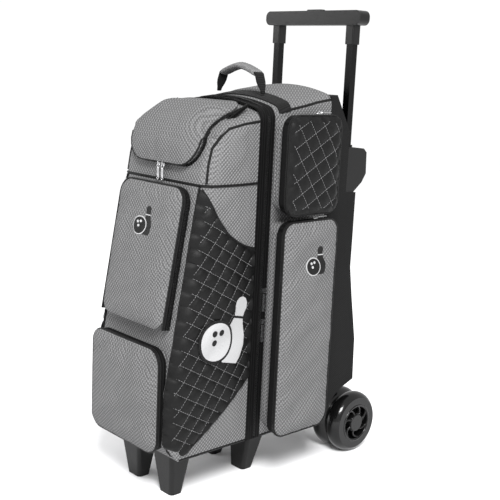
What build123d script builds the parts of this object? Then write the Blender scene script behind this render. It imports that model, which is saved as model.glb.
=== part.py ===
"""Upright roller bag for three bowling balls and a pair of shoes.

The frame: +Z is up, the floor is z = 0, the bag faces -Y and its wheels are behind, at +Y.
The origin is on the floor, under the middle of the object's length and width.
All sizes are millimetres. Lengths along Y are told from the main zip, which parts the
front section from the rear one, so that each half keeps its depth when the zip moves.
"""
from build123d import *
from math import asin, atan2, cos, degrees, radians, sin
import os

os.makedirs("parts", exist_ok=True)

# Overall sizes
half_length = 286.5        # origin to the wheels' rear, and to the lower pocket's front
body_half_width = 120.0
body_bottom = 95.0
zip_y = -65.0              # the plane where the two halves meet
front_top = 711.0          # height of the side edges at the zip
rear_top = 740.0           # height of the side edges at the rear seam
rear_depth = 167.0         # zip to the seam between the grey and the black cloth
crown = 18.0               # how far the roof rises between its side edges
corner_radius = 22.0
wall = 5.0                 # padded cloth
zip_gap = 0.6              # between the two halves

# Wheels
wheel_radius = 63.5
wheel_inner_x = 62.0
wheel_width = 75.0
tread_crown = 9.5          # how far each lobe of the tread rises over its edges
axle_radius = 6.0
rim_radius = 40.0
hub_radius = 19.0
bearing_radius = 14.0
bearing_width = 8.0
arch_clearance = 25.0      # between the tyre and the bag's underside
running_clearance = 0.05
cap_thickness = 3.0

# Telescopic handle
tube_x = 100.0
tube_depth = 237.0         # zip to the tubes' centre line
inner_tube_size = 15.0
inner_tube_wall = 1.2
tube_gap = 0.5             # each side of the inner tube in the outer one
outer_tube_wall = 1.5
outer_tube_top = 645.0
tube_foot_gap = 8.0        # wheel arch to the fixed tubes' lower ends
inner_tube_bottom = 441.0
grip_top = 902.0
grip_height = 28.0
grip_half_width = 128.0
grip_depth = 28.0
grip_wall = 4.0
sleeve_wall = 3.0
sleeve_bottom = 838.0
socket_clearance = 0.2
lock_pin_radius = 2.5
lock_pin_travel = 3.0
lock_drop = 14.0           # lock pin above the inner tube's lower end
collapse_travel = 150.0
extend_travel = 139.0
button_length = 38.0
button_width = 12.0
button_travel = 4.0
button_rise = 3.0
yoke_lift = 6.0            # pressed yoke over the grip's floor: it clears the grip's screws
rod_radius = 2.0
yoke_height = 5.0

# Balls and their cups
ball_radius = 108.0
ball_depth = 106.0         # zip to the balls' centres
cup_half_height = 18.0
cup_hole_radius = 30.0
board_depth = 214.0        # zip to the board behind the balls
board_thickness = 3.0

# Side pockets
side_pocket_depth = 48.0
side_pocket_front = 20.0   # zip to the pockets' front wall
upper_pocket_length = 114.0
lower_pocket_length = 120.0
upper_pocket_low = 534.0
upper_pocket_high = 702.0
lower_pocket_low = 116.0
lower_pocket_high = 511.0
gusset_wall = 4.0
panel_thickness = 6.0
panel_overhang = 6.0
panel_gap = 0.5
pocket_corner = 20.0

# Front section
front_bottom_depth = 180.0
front_belly_depth = 200.0
front_belly_low = 124.0
front_belly_high = 219.0
front_brow_depth = 139.0
front_brow_height = 578.0
upper_front_half_width = 86.0
upper_front_low = 335.0
upper_front_high = 568.0
upper_front_proud = 16.0
lower_front_half_width = 95.0
lower_front_low = 112.0
lower_front_high = 293.0
lower_panel_thickness = 12.0
divider_thickness = 3.0

# Shoe compartment's flap
flap_half_width = 96.0
flap_thickness = 6.0
flap_gap = 1.0
flap_front_low = 618.0
flap_hinge_depth = 32.0    # in front of the zip
flap_lap = 14.0            # the flap's overlap on the rim round the opening

# Trays, feet and trims
tray_thickness = 6.0
tray_margin = 8.0
tray_rear_gap = 2.5        # wheel arch to the base tray's rear edge
front_foot_x = 50.0
front_foot_depth = 137.0
mid_foot_x = 45.0
mid_foot_depth = 47.0
mid_foot_rake = 14.0
foot_tip = (38.0, 28.0)
foot_top = (62.0, 52.0)
tape_width = 17.0
tape_thickness = 2.2
band_depth = 42.0          # zip to the middle of the carry band
band_width = 40.0
band_thickness = 2.5
carry_half_width = 62.0
carry_height = 52.0
carry_strap_width = 24.0
carry_strap_thickness = 4.0
carry_grip_half_length = 34.0
carry_lift = 5.0           # pivot above the webbing at the strap's feet
carry_neck_width = 8.0
carry_neck_height = 20.0

# Rear cloth's edge, from the wheel arch up
arch_high_angle = 110.0    # where the arch leaves the cloth, seen from the axle
heel_rise = 93.5           # axle to the corner over the wheel
heel_step = 2.0            # axle to that corner, forwards
hip_height = 244.0
hip_step = 5.0
waist_height = 331.0
waist_step = 22.0
rear_flat_height = 400.0   # the edge is upright from here to the ledge
tube_step = 17.0           # the tubes' centre to the outside of the cloth behind them
ledge_height = 552.0       # where the cloth steps in below the handle bracket
chamfer_drop = 68.0        # roof to the foot of the sloping top edge
chamfer_depth = 16.0

# Bumper round the fixed tubes: depth behind the tubes' centre, and height over the ledge
bumper_outline = ((12.0, 0.2), (36.0, 19.0), (47.0, 36.0), (45.0, 78.0), (36.0, 86.0))
bumper_lip = 3.0           # below the fixed tubes' upper ends

# Zip sliders and pulls
slider_heights = (384.0, 325.0)
slider_size = 9.0
slider_depth = 9.0         # zip to the sliders' centres
slider_rise = 4.0
pull_length = 34.0
pull_width = 7.0
pull_thickness = 1.6
pull_gap = 1.8             # slider to the pull's pivot
shoe_pull_xs = (-6.0, 12.0)

# Derived places
wheel_y = half_length - wheel_radius
front_face_y = -half_length
rear_start = zip_y + zip_gap / 2
front_start = zip_y - zip_gap / 2
seam_y = zip_y + rear_depth
tube_y = zip_y + tube_depth
arch_radius = wheel_radius + arch_clearance
outer_tube_size = inner_tube_size + 2 * (tube_gap + outer_tube_wall)
outer_tube_bottom = wheel_radius + arch_radius + tube_foot_gap
sleeve_size = inner_tube_size + 2 * sleeve_wall
roof_slope = (rear_top - front_top) / rear_depth
roof_angle = atan2(rear_top - front_top, rear_depth)
slope_dir = Vector(0, cos(roof_angle), sin(roof_angle))
inner_half_width = body_half_width - wall
tray_bottom = body_bottom - tray_thickness
grip_bottom = grip_top - grip_height
axle_line = Axis((0, wheel_y, wheel_radius), (1, 0, 0))
side_pocket_x = body_half_width + side_pocket_depth


def keep(piece, name):
    """Label a finished piece and write it."""
    piece.label = name
    export_step(piece, f"parts/{name}.step")


def keep_pair(piece, name):
    """Write a right-hand piece and its mirror image."""
    keep(piece, f"{name}_right")
    keep(mirror(piece, about=Plane.YZ), f"{name}_left")


def box_between(low, high):
    """A block from its lowest to its highest corner."""
    size = [b - a for a, b in zip(low, high)]
    middle = [(a + b) / 2 for a, b in zip(low, high)]
    return Pos(*middle) * Box(*size, mode=Mode.PRIVATE)


# Bag envelopes: shapes that walls, tapes and flaps are cut from
def body_section(grow, plane, base):
    """Across the bag: straight sides, rounded shoulders and a crowned roof."""
    half = body_half_width + grow
    shoulder = front_top + grow
    with BuildSketch(plane) as section:
        with BuildLine():
            Polyline((-half, shoulder), (-half, base), (half, base), (half, shoulder))
            ThreePointArc((half, shoulder), (0, shoulder + crown), (-half, shoulder))
        make_face()
        shoulders = section.vertices().group_by(Axis.Y)[-1]
        fillet(shoulders, corner_radius + grow)
    return section.sketch


def rear_prism(grow, floor, length):
    """The rear section's cross-section, run back along the sloping roof."""
    with BuildPart() as prism:
        add(body_section(grow, Plane.XZ.offset(-rear_start), 0))
        extrude(amount=length / cos(roof_angle), dir=slope_dir)
        split(bisect_by=Plane.XY.offset(floor), keep=Keep.TOP)
    return prism.part


def front_points():
    """The front section's side outline, from the zip's foot round to its top."""
    ridge = front_top + crown
    return [
        (front_start, body_bottom),
        (zip_y - front_bottom_depth, body_bottom),
        (zip_y - front_belly_depth, front_belly_low),
        (zip_y - front_belly_depth, front_belly_high),
        (zip_y - front_brow_depth, front_brow_height),
        (zip_y - front_brow_depth + 15, ridge - 58),
        (zip_y - front_brow_depth + 43, ridge - 13),
        (zip_y - front_brow_depth + 80, ridge + 6),
        (front_start, ridge + 6),
    ]


def front_body(grow, half_width):
    """The front section's outside, grown or shrunk, over a given width."""
    with BuildPart() as body:
        with BuildSketch(Plane.YZ.offset(-half_width)):
            with BuildLine():
                Polyline(*front_points(), close=True)
            make_face()
            if grow:
                offset(amount=grow, kind=Kind.INTERSECTION)
        extrude(amount=2 * half_width)
        add(front_tunnel(grow), mode=Mode.INTERSECT)
        if half_width >= inner_half_width:
            upright = body.edges().filter_by(lambda e: abs(abs(e.center().X) - half_width) < 0.01)
            upright = upright.filter_by(lambda e: e.center().Y < zip_y - front_brow_depth)
            upright = upright.filter_by(lambda e: front_belly_low < e.center().Z < front_brow_height)
            fillet(upright, corner_radius + grow)
    return body.part


def front_tunnel(grow):
    """The body's cross-section run forward, level, from behind the zip."""
    with BuildPart() as tunnel:
        add(body_section(grow, Plane.XZ.offset(-zip_y - 30), 0))
        extrude(amount=half_length + 100, dir=(0, -1, 0))
    return tunnel.part


# Rear section
def make_rear_shell():
    """Grey cloth sleeve round the balls, open at the zip and at the rear seam."""
    with BuildPart() as rear_shell:
        add(rear_prism(0, body_bottom, rear_depth - zip_gap / 2))
        add(rear_prism(-wall, body_bottom + wall, 2 * rear_depth), mode=Mode.SUBTRACT)
        add(mouth_block(rear_start), mode=Mode.SUBTRACT)
    keep(rear_shell.part, "rear_shell")


def mouth_block(y):
    """A thin cut that clears the sleeve's mouth."""
    return box_between((-inner_half_width, y - 1, body_bottom + wall), (inner_half_width, y + 1, 600))


def arch_point(angle, radius=arch_radius):
    """A point on an arc round the axle, from the angle above the rearward level."""
    return (wheel_y + radius * cos(radians(angle)), wheel_radius + radius * sin(radians(angle)))


arch_low_angle = 180 - degrees(asin((body_bottom - wheel_radius) / arch_radius))


def back_points():
    """The black rear cloth's side outline: chamfered above, stepped round the bracket, arched below."""
    ledge_y = tube_y - outer_tube_size / 2 - 3
    return [
        (seam_y, body_bottom),
        arch_point(arch_low_angle),
        arch_point(arch_high_angle),
        (wheel_y - heel_step, wheel_radius + heel_rise),
        (wheel_y - hip_step, hip_height),
        (wheel_y - waist_step, waist_height),
        (tube_y + tube_step, rear_flat_height),
        (tube_y + tube_step, ledge_height),
        (ledge_y, ledge_height),
        (ledge_y, rear_top - chamfer_drop),
        (seam_y + chamfer_depth, rear_top + 2),
        (seam_y, rear_top),
    ]


def back_solid(shrink, half_width):
    """The rear cloth's filled outline over a given width."""
    points = back_points()
    with BuildPart() as solid:
        with BuildSketch(Plane.YZ.offset(-half_width)):
            with BuildLine():
                Polyline(*points[2:], points[0], points[1])
                ThreePointArc(points[1], arch_point((arch_low_angle + arch_high_angle) / 2), points[2])
            make_face()
            if shrink:
                offset(amount=-shrink, kind=Kind.INTERSECTION)
        extrude(amount=2 * half_width)
    return solid.part


def tube_clearances(low, high, side):
    """Square channels for both tubes."""
    half = outer_tube_size / 2 + side
    channels = []
    for x in (-tube_x, tube_x):
        channels.append(box_between((x - half, tube_y - half, low), (x + half, tube_y + half, high)))
    return channels


def make_back_shell():
    """Black cloth cover behind the balls, round the fixed tubes, open towards the front."""
    mouth = box_between((-inner_half_width, seam_y - 1, body_bottom + wall),
                        (inner_half_width, seam_y + wall + 1, rear_top - wall))
    with BuildPart() as back_shell:
        add(back_solid(0, body_half_width))
        add(back_solid(wall, inner_half_width), mode=Mode.SUBTRACT)
        add(mouth, mode=Mode.SUBTRACT)
        for channel in tube_clearances(ledge_height - 20, ledge_height + 20, socket_clearance):
            add(channel, mode=Mode.SUBTRACT)
    keep(back_shell.part, "back_shell")


def make_back_board():
    """Stiff sheet between the balls and the tubes."""
    front = zip_y + board_depth
    ahead_of_axle = wheel_y - front - board_thickness
    foot = wheel_radius + ((arch_radius + wall)**2 - ahead_of_axle**2)**0.5 + 1
    with BuildPart() as back_board:
        add(box_between((-inner_half_width + 1, front, foot),
                        (inner_half_width - 1, front + board_thickness, 668)))
        top_corners = back_board.edges().filter_by(Axis.Y).group_by(Axis.Z)[-1]
        fillet(top_corners, 20)
    keep(back_board.part, "back_board")


def ball_centre_height(index):
    """Height of a ball's centre: the balls stand on each other."""
    return body_bottom + wall + ball_radius * (2 * index + 1)


def make_ball_cup(index, name):
    """Foam seat where two balls meet, dished on each side; the lowest lies on the floor."""
    level = ball_centre_height(index) - ball_radius
    low = level - (cup_half_height if index else 0)
    high = level + cup_half_height + (0 if index else cup_half_height)
    middle = zip_y + ball_depth
    half_y = ball_depth - 2
    with BuildPart() as cup:
        add(box_between((-inner_half_width + 1, middle - half_y, low),
                        (inner_half_width - 1, middle + half_y, high)))
        with Locations((0, middle, ball_centre_height(index))):
            Sphere(ball_radius + 1, mode=Mode.SUBTRACT)
        if index:
            with Locations((0, middle, ball_centre_height(index - 1))):
                Sphere(ball_radius + 1, mode=Mode.SUBTRACT)
        with Locations((0, middle, (low + high) / 2)):
            Cylinder(cup_hole_radius, high - low + 2, mode=Mode.SUBTRACT)
        add(arch_roller(), mode=Mode.SUBTRACT)
    keep(cup.part, name)


def arch_roller():
    """The space that the wheel arch and its cloth take up."""
    with BuildPart() as roller:
        with BuildSketch(Plane.YZ.offset(-body_half_width)):
            with Locations((wheel_y, wheel_radius)):
                Circle(arch_radius + wall + 0.5)
        extrude(amount=2 * body_half_width)
    return roller.part


def make_base_tray():
    """Moulded plate under the rear section."""
    with BuildPart() as base_tray:
        add(box_between((-body_half_width + tray_margin, zip_y + tray_margin, tray_bottom),
                        (body_half_width - tray_margin, wheel_y - arch_radius - tray_rear_gap,
                         body_bottom)))
        fillet(base_tray.edges().filter_by(Axis.Z), 12)
    keep(base_tray.part, "base_tray")


def foot_solid(x, y, rake):
    """A tapered foot: a small flat tip on the floor and a wide top under the tray."""
    with BuildPart() as foot:
        with BuildSketch(Plane((x, y, 0))):
            RectangleRounded(*foot_tip, 8)
        with BuildSketch(Plane((x, y + rake, tray_bottom))):
            RectangleRounded(*foot_top, 8)
        loft()
    return foot.part


def make_rear_tape():
    """Zip tape sewn round the rear section's mouth, up one side, over and down the other."""
    with BuildPart() as tape:
        add(rear_prism(tape_thickness, body_bottom, tape_width))
        add(rear_prism(0, 0, tape_width + 5), mode=Mode.SUBTRACT)
        add(box_between((-200, zip_y - 5, 0), (200, rear_start, 900)), mode=Mode.SUBTRACT)
    keep(tape.part, "rear_zip_tape")


def roof_height(depth):
    """Height of the roof's side edges, behind the zip."""
    return front_top + roof_slope * depth


def make_carry_band():
    """Webbing across the roof that the carry handle is sewn to."""
    start = band_depth - band_width / 2
    with BuildPart() as band:
        add(rear_prism(band_thickness, body_bottom, rear_depth - 2))
        add(rear_prism(0, 0, rear_depth), mode=Mode.SUBTRACT)
        add(box_between((-body_half_width + corner_radius, zip_y + start, 600),
                        (body_half_width - corner_radius, zip_y + start + band_width, 900)),
            mode=Mode.INTERSECT)
    keep(band.part, "carry_band")


carry_pivot_z = roof_height(band_depth) + band_thickness + crown * 0.73 + carry_lift
carry_pivot = (0, zip_y + band_depth, carry_pivot_z)


def make_carry_handle():
    """Arched webbing strap and the padded grip wrapped round its middle."""
    low = carry_pivot_z
    high = low + carry_height
    foot = carry_half_width
    bend = foot - 22
    middle = zip_y + band_depth
    strap_plane = Plane.XZ.offset(-middle - carry_strap_width / 2)
    grip_half = carry_grip_half_length
    with BuildPart() as strap:
        with BuildSketch(strap_plane):
            with BuildLine() as path:
                Line((-foot, low), (-bend, high - 12))
                ThreePointArc((-bend, high - 12), (0, high), (bend, high - 12))
                Line((bend, high - 12), (foot, low))
            trace_line = path.line
            trace(trace_line, line_width=carry_strap_thickness)
        extrude(amount=carry_strap_width)
        split(bisect_by=Plane.XY.offset(low), keep=Keep.TOP)
        for side in (-1, 1):
            near = middle + side * carry_neck_width / 2
            far = middle + side * carry_strap_width
            add(box_between((-foot - 5, min(near, far), low - 5),
                            (foot + 5, max(near, far), low + carry_neck_height)), mode=Mode.SUBTRACT)
    with BuildPart() as grip:
        add(box_between((-grip_half, zip_y + band_depth - carry_strap_width / 2 - 4, high - 16),
                        (grip_half, zip_y + band_depth + carry_strap_width / 2 + 4, high + 8)))
        fillet(grip.edges().filter_by(Axis.X), 8)
        add(strap.part, mode=Mode.SUBTRACT)
    keep(strap.part, "carry_strap")
    keep(grip.part.solids().sort_by(SortBy.VOLUME)[-1], "carry_grip")


# Wheels and their carrier
def wheel_plane():
    """Section plane through the axle: along it, and out from it."""
    return Plane(origin=(0, wheel_y, wheel_radius), x_dir=(1, 0, 0), z_dir=(0, 0, 1))


def make_wheel():
    """Two-lobed tyre, spoked core, two bearings and a cap, for each side."""
    start = wheel_inner_x
    end = start + wheel_width
    middle = (start + end) / 2
    shoulder = wheel_radius - tread_crown
    with BuildPart() as tyre:
        with BuildSketch(wheel_plane()):
            with BuildLine():
                Line((start, rim_radius), (start, shoulder))
                ThreePointArc((start, shoulder), ((start + middle - 1) / 2, wheel_radius),
                              (middle - 1, shoulder))
                Line((middle - 1, shoulder), (middle + 1, shoulder))
                ThreePointArc((middle + 1, shoulder), ((middle + 1 + end) / 2, wheel_radius),
                              (end, shoulder))
                Polyline((end, shoulder), (end, rim_radius), (start, rim_radius))
            make_face()
        revolve(axis=axle_line)
    with BuildPart() as core:
        with BuildSketch(wheel_plane()):
            with BuildLine():
                Polyline((start + 1, bearing_radius), (end - 3, bearing_radius), (end - 3, hub_radius),
                         (middle + 8, hub_radius), (middle + 8, rim_radius - 5), (end, rim_radius - 5),
                         (end, rim_radius), (start, rim_radius), (start, rim_radius - 5),
                         (middle - 2, rim_radius - 5), (middle - 2, hub_radius), (start + 1, hub_radius),
                         close=True)
            make_face()
        revolve(axis=axle_line)
        with BuildSketch(Plane.YZ.offset(middle - 10)) as windows:
            with Locations((wheel_y, wheel_radius)):
                with PolarLocations((hub_radius + rim_radius - 5) / 2, 7):
                    Circle(5.5)
        extrude(amount=30, mode=Mode.SUBTRACT)
        with BuildSketch(Plane.YZ.offset(middle)):
            with Locations((wheel_y, wheel_radius)):
                Circle(axle_radius + 2)
        extrude(amount=wheel_width, both=True, mode=Mode.SUBTRACT)
    with BuildPart() as bearings:
        for x in (start + 2, end - 3 - bearing_width - 1):
            with BuildSketch(Plane.YZ.offset(x)):
                with Locations((wheel_y, wheel_radius)):
                    Circle(bearing_radius)
                    Circle(axle_radius + running_clearance, mode=Mode.SUBTRACT)
            extrude(amount=bearing_width)
    with BuildPart() as cap:
        with BuildSketch(Plane.YZ.offset(end - 3)):
            with Locations((wheel_y, wheel_radius)):
                Circle(hub_radius - 1)
        extrude(amount=cap_thickness + 1)
        fillet(cap.edges().group_by(Axis.X)[-1], 2)
    keep_pair(tyre.part, "tyre")
    keep_pair(core.part, "wheel_core")
    keep_pair(bearings.part, "wheel_bearings")
    keep_pair(cap.part, "wheel_cap")


def make_axle():
    """One steel rod through the carrier and both wheels."""
    with BuildPart() as axle:
        with BuildSketch(Plane.YZ.offset(-(wheel_inner_x + wheel_width - 5))):
            with Locations((wheel_y, wheel_radius)):
                Circle(axle_radius)
        extrude(amount=2 * (wheel_inner_x + wheel_width - 5))
    keep(axle.part, "axle")


def make_wheel_carrier():
    """Moulding between the wheels: two webs from the axle boss up to the arch."""
    half = wheel_inner_x - 4
    web = 8
    near = arch_radius - 8
    far = arch_radius - 0.3
    with BuildPart() as carrier:
        with BuildSketch(Plane.YZ.offset(-half)):
            with Locations((wheel_y, wheel_radius)):
                Circle(16)
        extrude(amount=2 * half)
        extrude(arch_band(-half, near, far), amount=2 * half, dir=(1, 0, 0))
        for x in (-half, half - web):
            extrude(arch_band(x, 8, near + 1), amount=web, dir=(1, 0, 0))
        with BuildSketch(Plane.YZ.offset(-half)):
            with Locations((wheel_y, wheel_radius)):
                Circle(axle_radius)
        extrude(amount=2 * half, mode=Mode.SUBTRACT)
    keep(carrier.part, "wheel_carrier")


def arch_band(x, near, far):
    """A curved strip round the axle, between two radii, under the arch."""
    low = arch_low_angle - 2
    high = arch_high_angle + 1
    middle = (low + high) / 2
    with BuildSketch(Plane.YZ.offset(x)) as band:
        with BuildLine():
            ThreePointArc(arch_point(low, far), arch_point(middle, far), arch_point(high, far))
            Line(arch_point(high, far), arch_point(high, near))
            ThreePointArc(arch_point(high, near), arch_point(middle, near), arch_point(low, near))
            Line(arch_point(low, near), arch_point(low, far))
        make_face()
    return band.sketch


# Telescopic handle
def square_tube(x, size, thickness, low, high):
    """A square tube standing upright."""
    with BuildPart() as tube:
        with BuildSketch(Plane((x, tube_y, low))):
            Rectangle(size, size)
            Rectangle(size - 2 * thickness, size - 2 * thickness, mode=Mode.SUBTRACT)
        extrude(amount=high - low)
    return tube.part


def lock_holes(height, radius):
    """A short bore through a tube's outer side at a given height."""
    with BuildPart() as hole:
        with BuildSketch(Plane.YZ.offset(tube_x)):
            with Locations((tube_y, height)):
                Circle(radius)
        extrude(amount=outer_tube_size)
    return hole.part


lock_height = inner_tube_bottom + lock_drop


def make_tubes():
    """Fixed outer tubes with lock holes, and the sliding inner tubes."""
    stops = (lock_height - collapse_travel, lock_height, lock_height + extend_travel)
    with BuildPart() as outer_tube:
        add(square_tube(tube_x, outer_tube_size, outer_tube_wall, outer_tube_bottom, outer_tube_top))
        for height in stops:
            add(lock_holes(height, lock_pin_radius + 0.5), mode=Mode.SUBTRACT)
    with BuildPart() as inner_tube:
        add(square_tube(tube_x, inner_tube_size, inner_tube_wall, inner_tube_bottom, grip_bottom + grip_wall))
        add(lock_holes(lock_height, lock_pin_radius + running_clearance), mode=Mode.SUBTRACT)
    with BuildPart() as lock_pin:
        with BuildSketch(Plane.YZ.offset(tube_x - 3)):
            with Locations((tube_y, lock_height)):
                Circle(lock_pin_radius)
        extrude(amount=3 + inner_tube_size / 2 - 0.2)
    keep_pair(outer_tube.part, "outer_tube")
    keep_pair(inner_tube.part, "inner_tube")
    keep_pair(lock_pin.part, "lock_pin")


def make_tube_brackets():
    """Upper bumper that holds the fixed tubes, and the socket bar at their feet."""
    half = body_half_width - 2
    front = tube_y - outer_tube_size / 2 - 2.5
    with BuildPart() as upper:
        with BuildSketch(Plane.YZ.offset(-half)):
            with BuildLine():
                rim = [(tube_y + depth, ledge_height + rise) for depth, rise in bumper_outline]
                Polyline((front, rim[0][1]), *rim, (front, outer_tube_top - bumper_lip), close=True)
            make_face()
        extrude(amount=2 * half)
        for channel in tube_clearances(ledge_height - 5, outer_tube_top + 5, 0):
            add(channel, mode=Mode.SUBTRACT)
        add(box_between((-tube_x + 22, front - 1, ledge_height - 5),
                        (tube_x - 22, tube_y + 26, outer_tube_top + 5)), mode=Mode.SUBTRACT)
    with BuildPart() as lower:
        add(box_between((-inner_half_width + 2, front + 1, outer_tube_bottom - 4),
                        (inner_half_width - 2, tube_y + outer_tube_size / 2 + 2, outer_tube_bottom + 20)))
        for channel in tube_clearances(outer_tube_bottom, outer_tube_bottom + 30, 0):
            add(channel, mode=Mode.SUBTRACT)
    keep(upper.part, "upper_tube_bracket")
    keep(lower.part, "lower_tube_bracket")


def grip_outline(shrink):
    """The grip seen from behind: a bar with rounded ends and two sleeves round the tubes."""
    half = grip_half_width - shrink
    high = grip_top - shrink
    low = grip_bottom + shrink
    with BuildSketch(Plane.XZ.offset(-(tube_y + grip_depth / 2 - shrink))) as outline:
        with Locations((0, (high + low) / 2)):
            RectangleRounded(2 * half, high - low, (high - low) / 2 - 2)
    return outline.sketch


def make_grip():
    """Two grip shells that close round the tube ends, and the screws that join them."""
    cavity = grip_wall
    with BuildPart() as grip:
        add(grip_outline(0))
        extrude(amount=grip_depth, dir=(0, -1, 0))
        for x in (-tube_x, tube_x):
            with BuildSketch(Plane((x, tube_y, sleeve_bottom))):
                RectangleRounded(sleeve_size, sleeve_size, 3)
            extrude(amount=grip_bottom - sleeve_bottom + 4)
        add(grip_cavity(), mode=Mode.SUBTRACT)
        for x in (-tube_x, tube_x):
            add(box_between((x - inner_tube_size / 2, tube_y - inner_tube_size / 2, sleeve_bottom - 1),
                            (x + inner_tube_size / 2, tube_y + inner_tube_size / 2, grip_bottom + cavity + 1)),
                mode=Mode.SUBTRACT)
        add(button_slot(0.5), mode=Mode.SUBTRACT)
        add(grip_screw_solids(), mode=Mode.SUBTRACT)
    front_shell = split(grip.part, bisect_by=Plane.XZ.offset(-tube_y), keep=Keep.TOP)
    rear_shell = split(grip.part, bisect_by=Plane.XZ.offset(-tube_y), keep=Keep.BOTTOM)
    keep(front_shell, "grip_front_shell")
    keep(rear_shell, "grip_rear_shell")
    keep(grip_screw_solids(), "grip_screws")


def grip_cavity():
    """The hollow inside the grip bar."""
    with BuildPart() as hollow:
        add(grip_outline(grip_wall))
        extrude(amount=grip_depth - 2 * grip_wall, dir=(0, -1, 0))
    return hollow.part


def button_slot(gap):
    """The release button's outline through the grip's top."""
    half_x = button_length / 2 + gap
    half_y = button_width / 2 + gap
    return box_between((-half_x, tube_y - half_y, grip_top - grip_wall - 2),
                       (half_x, tube_y + half_y, grip_top + 10))


def grip_screw_solids():
    """Screws across the grip bar, beside the tubes, flush in the rear shell."""
    with BuildPart() as screws:
        for x in (-tube_x + 34, -30, 30, tube_x - 34):
            with BuildSketch(Plane.XZ.offset(-(tube_y + grip_depth / 2))):
                with Locations((x, grip_bottom + 7)):
                    Circle(2.6)
            extrude(amount=3)
            with BuildSketch(Plane.XZ.offset(-(tube_y + grip_depth / 2 - 3))):
                with Locations((x, grip_bottom + 7)):
                    Circle(1.4)
            extrude(amount=grip_depth - 6)
    return screws.part


def make_release():
    """Push button, the yoke under it with its two rods, and the return spring."""
    yoke_low = grip_bottom + grip_wall + button_travel + yoke_lift
    yoke_high = yoke_low + yoke_height
    with BuildPart() as button:
        add(box_between((-button_length / 2, tube_y - button_width / 2, grip_top - grip_wall - 1.5),
                        (button_length / 2, tube_y + button_width / 2, grip_top + button_rise)))
        fillet(button.edges().group_by(Axis.Z)[-1], 1.5)
        add(box_between((-8, tube_y - 4, yoke_high), (8, tube_y + 4, grip_top - grip_wall - 1.5)))
    with BuildPart() as yoke:
        add(box_between((-tube_x - 4, tube_y - 3, yoke_low), (tube_x + 4, tube_y + 3, yoke_high)))
        for x in (-tube_x, tube_x):
            with BuildSketch(Plane((x, tube_y, yoke_low))):
                Circle(rod_radius)
            extrude(amount=-(yoke_low - lock_height - lock_pin_radius - button_travel - 3))
    with BuildPart() as spring:
        with BuildLine():
            coil = Helix(pitch=2.2, height=button_travel + yoke_lift - 1.6, radius=3.5,
                         center=(0, tube_y, grip_bottom + grip_wall + 0.6))
        with BuildSketch(Plane(coil @ 0, z_dir=coil % 0)):
            Circle(0.5)
        sweep()
    keep(button.part, "release_button")
    keep(yoke.part, "release_yoke")
    keep(spring.part, "button_spring")


# Side pockets
def pocket_ring(plane, half_u, half_v, depth, radius):
    """A pocket's gusset: a rounded frame standing on the cloth behind it."""
    with BuildPart() as ring:
        with BuildSketch(plane):
            RectangleRounded(2 * half_u, 2 * half_v, radius)
            RectangleRounded(2 * (half_u - gusset_wall), 2 * (half_v - gusset_wall), radius - gusset_wall,
                             mode=Mode.SUBTRACT)
        extrude(amount=depth)
    return ring.part


def pocket_panel(plane, half_u, half_v, thickness, radius, crowned):
    """A pocket's face, its outer edge rounded over."""
    with BuildPart() as panel:
        with BuildSketch(plane):
            RectangleRounded(2 * half_u, 2 * half_v, radius)
        extrude(amount=thickness)
        rim = panel.edges().filter_by(lambda e: plane.to_local_coords(e.center()).Z > thickness - 0.01)
        fillet(rim, crowned)
    return panel.part


def side_plane(x, length, low, high):
    """A plane on a side pocket, centred on its outline: across is +Y and up is +Z."""
    middle_y = zip_y + side_pocket_front + length / 2
    return Plane(origin=(x, middle_y, (low + high) / 2), x_dir=(0, 1, 0), z_dir=(1, 0, 0))


def make_side_pocket(name, length, low, high):
    """Gusset and face of one side pocket, for each side of the bag."""
    half_u = length / 2
    half_v = (high - low) / 2
    base = side_plane(body_half_width, length, low, high)
    face = side_plane(side_pocket_x + panel_gap, length, low, high)
    gusset = pocket_ring(base, half_u, half_v, side_pocket_depth, pocket_corner)
    panel = pocket_panel(face, half_u + panel_overhang, half_v + panel_overhang, panel_thickness,
                         pocket_corner + panel_overhang, 3)
    keep_pair(gusset, f"{name}_gusset")
    keep_pair(panel, f"{name}_panel")


# Front section
def make_front_shell():
    """Grey and quilted cloth shell, open at the zip and under the shoe flap."""
    window_half = flap_half_width - flap_lap
    with BuildPart() as front_shell:
        add(front_body(0, body_half_width))
        add(front_body(-wall, inner_half_width), mode=Mode.SUBTRACT)
        add(box_between((-inner_half_width, front_start - wall - 1, body_bottom + wall),
                        (inner_half_width, front_start + 1, front_top - wall - corner_radius / 2)),
            mode=Mode.SUBTRACT)
        add(box_between((-window_half, -half_length, flap_front_low + 2 * flap_lap),
                        (window_half, zip_y - flap_hinge_depth - flap_lap, front_top + 2 * crown)),
            mode=Mode.SUBTRACT)
    keep(front_shell.part, "front_shell")


def make_divider():
    """Sheet that closes the shoe compartment off from the balls."""
    with BuildPart() as divider:
        add(box_between((-inner_half_width, front_start - wall - 1 - divider_thickness, body_bottom + wall),
                        (inner_half_width, front_start - wall - 1, front_top - wall)))
        fillet(divider.edges().filter_by(Axis.Y).group_by(Axis.Z)[-1], corner_radius)
    keep(divider.part, "divider_panel")


def make_front_tray():
    """Moulded plate under the front section."""
    with BuildPart() as front_tray:
        add(box_between((-body_half_width + tray_margin, zip_y - front_bottom_depth + tray_margin, tray_bottom),
                        (body_half_width - tray_margin, front_start - 2, body_bottom)))
        fillet(front_tray.edges().filter_by(Axis.Z), 12)
    keep(front_tray.part, "front_tray")


def make_front_tape():
    """Zip tape sewn round the front section's mouth."""
    back = front_start
    with BuildPart() as tape:
        add(front_tunnel(tape_thickness))
        add(front_tunnel(0), mode=Mode.SUBTRACT)
        add(box_between((-200, back - tape_width, body_bottom), (200, back, 900)), mode=Mode.INTERSECT)
    keep(tape.part, "front_zip_tape")


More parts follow.
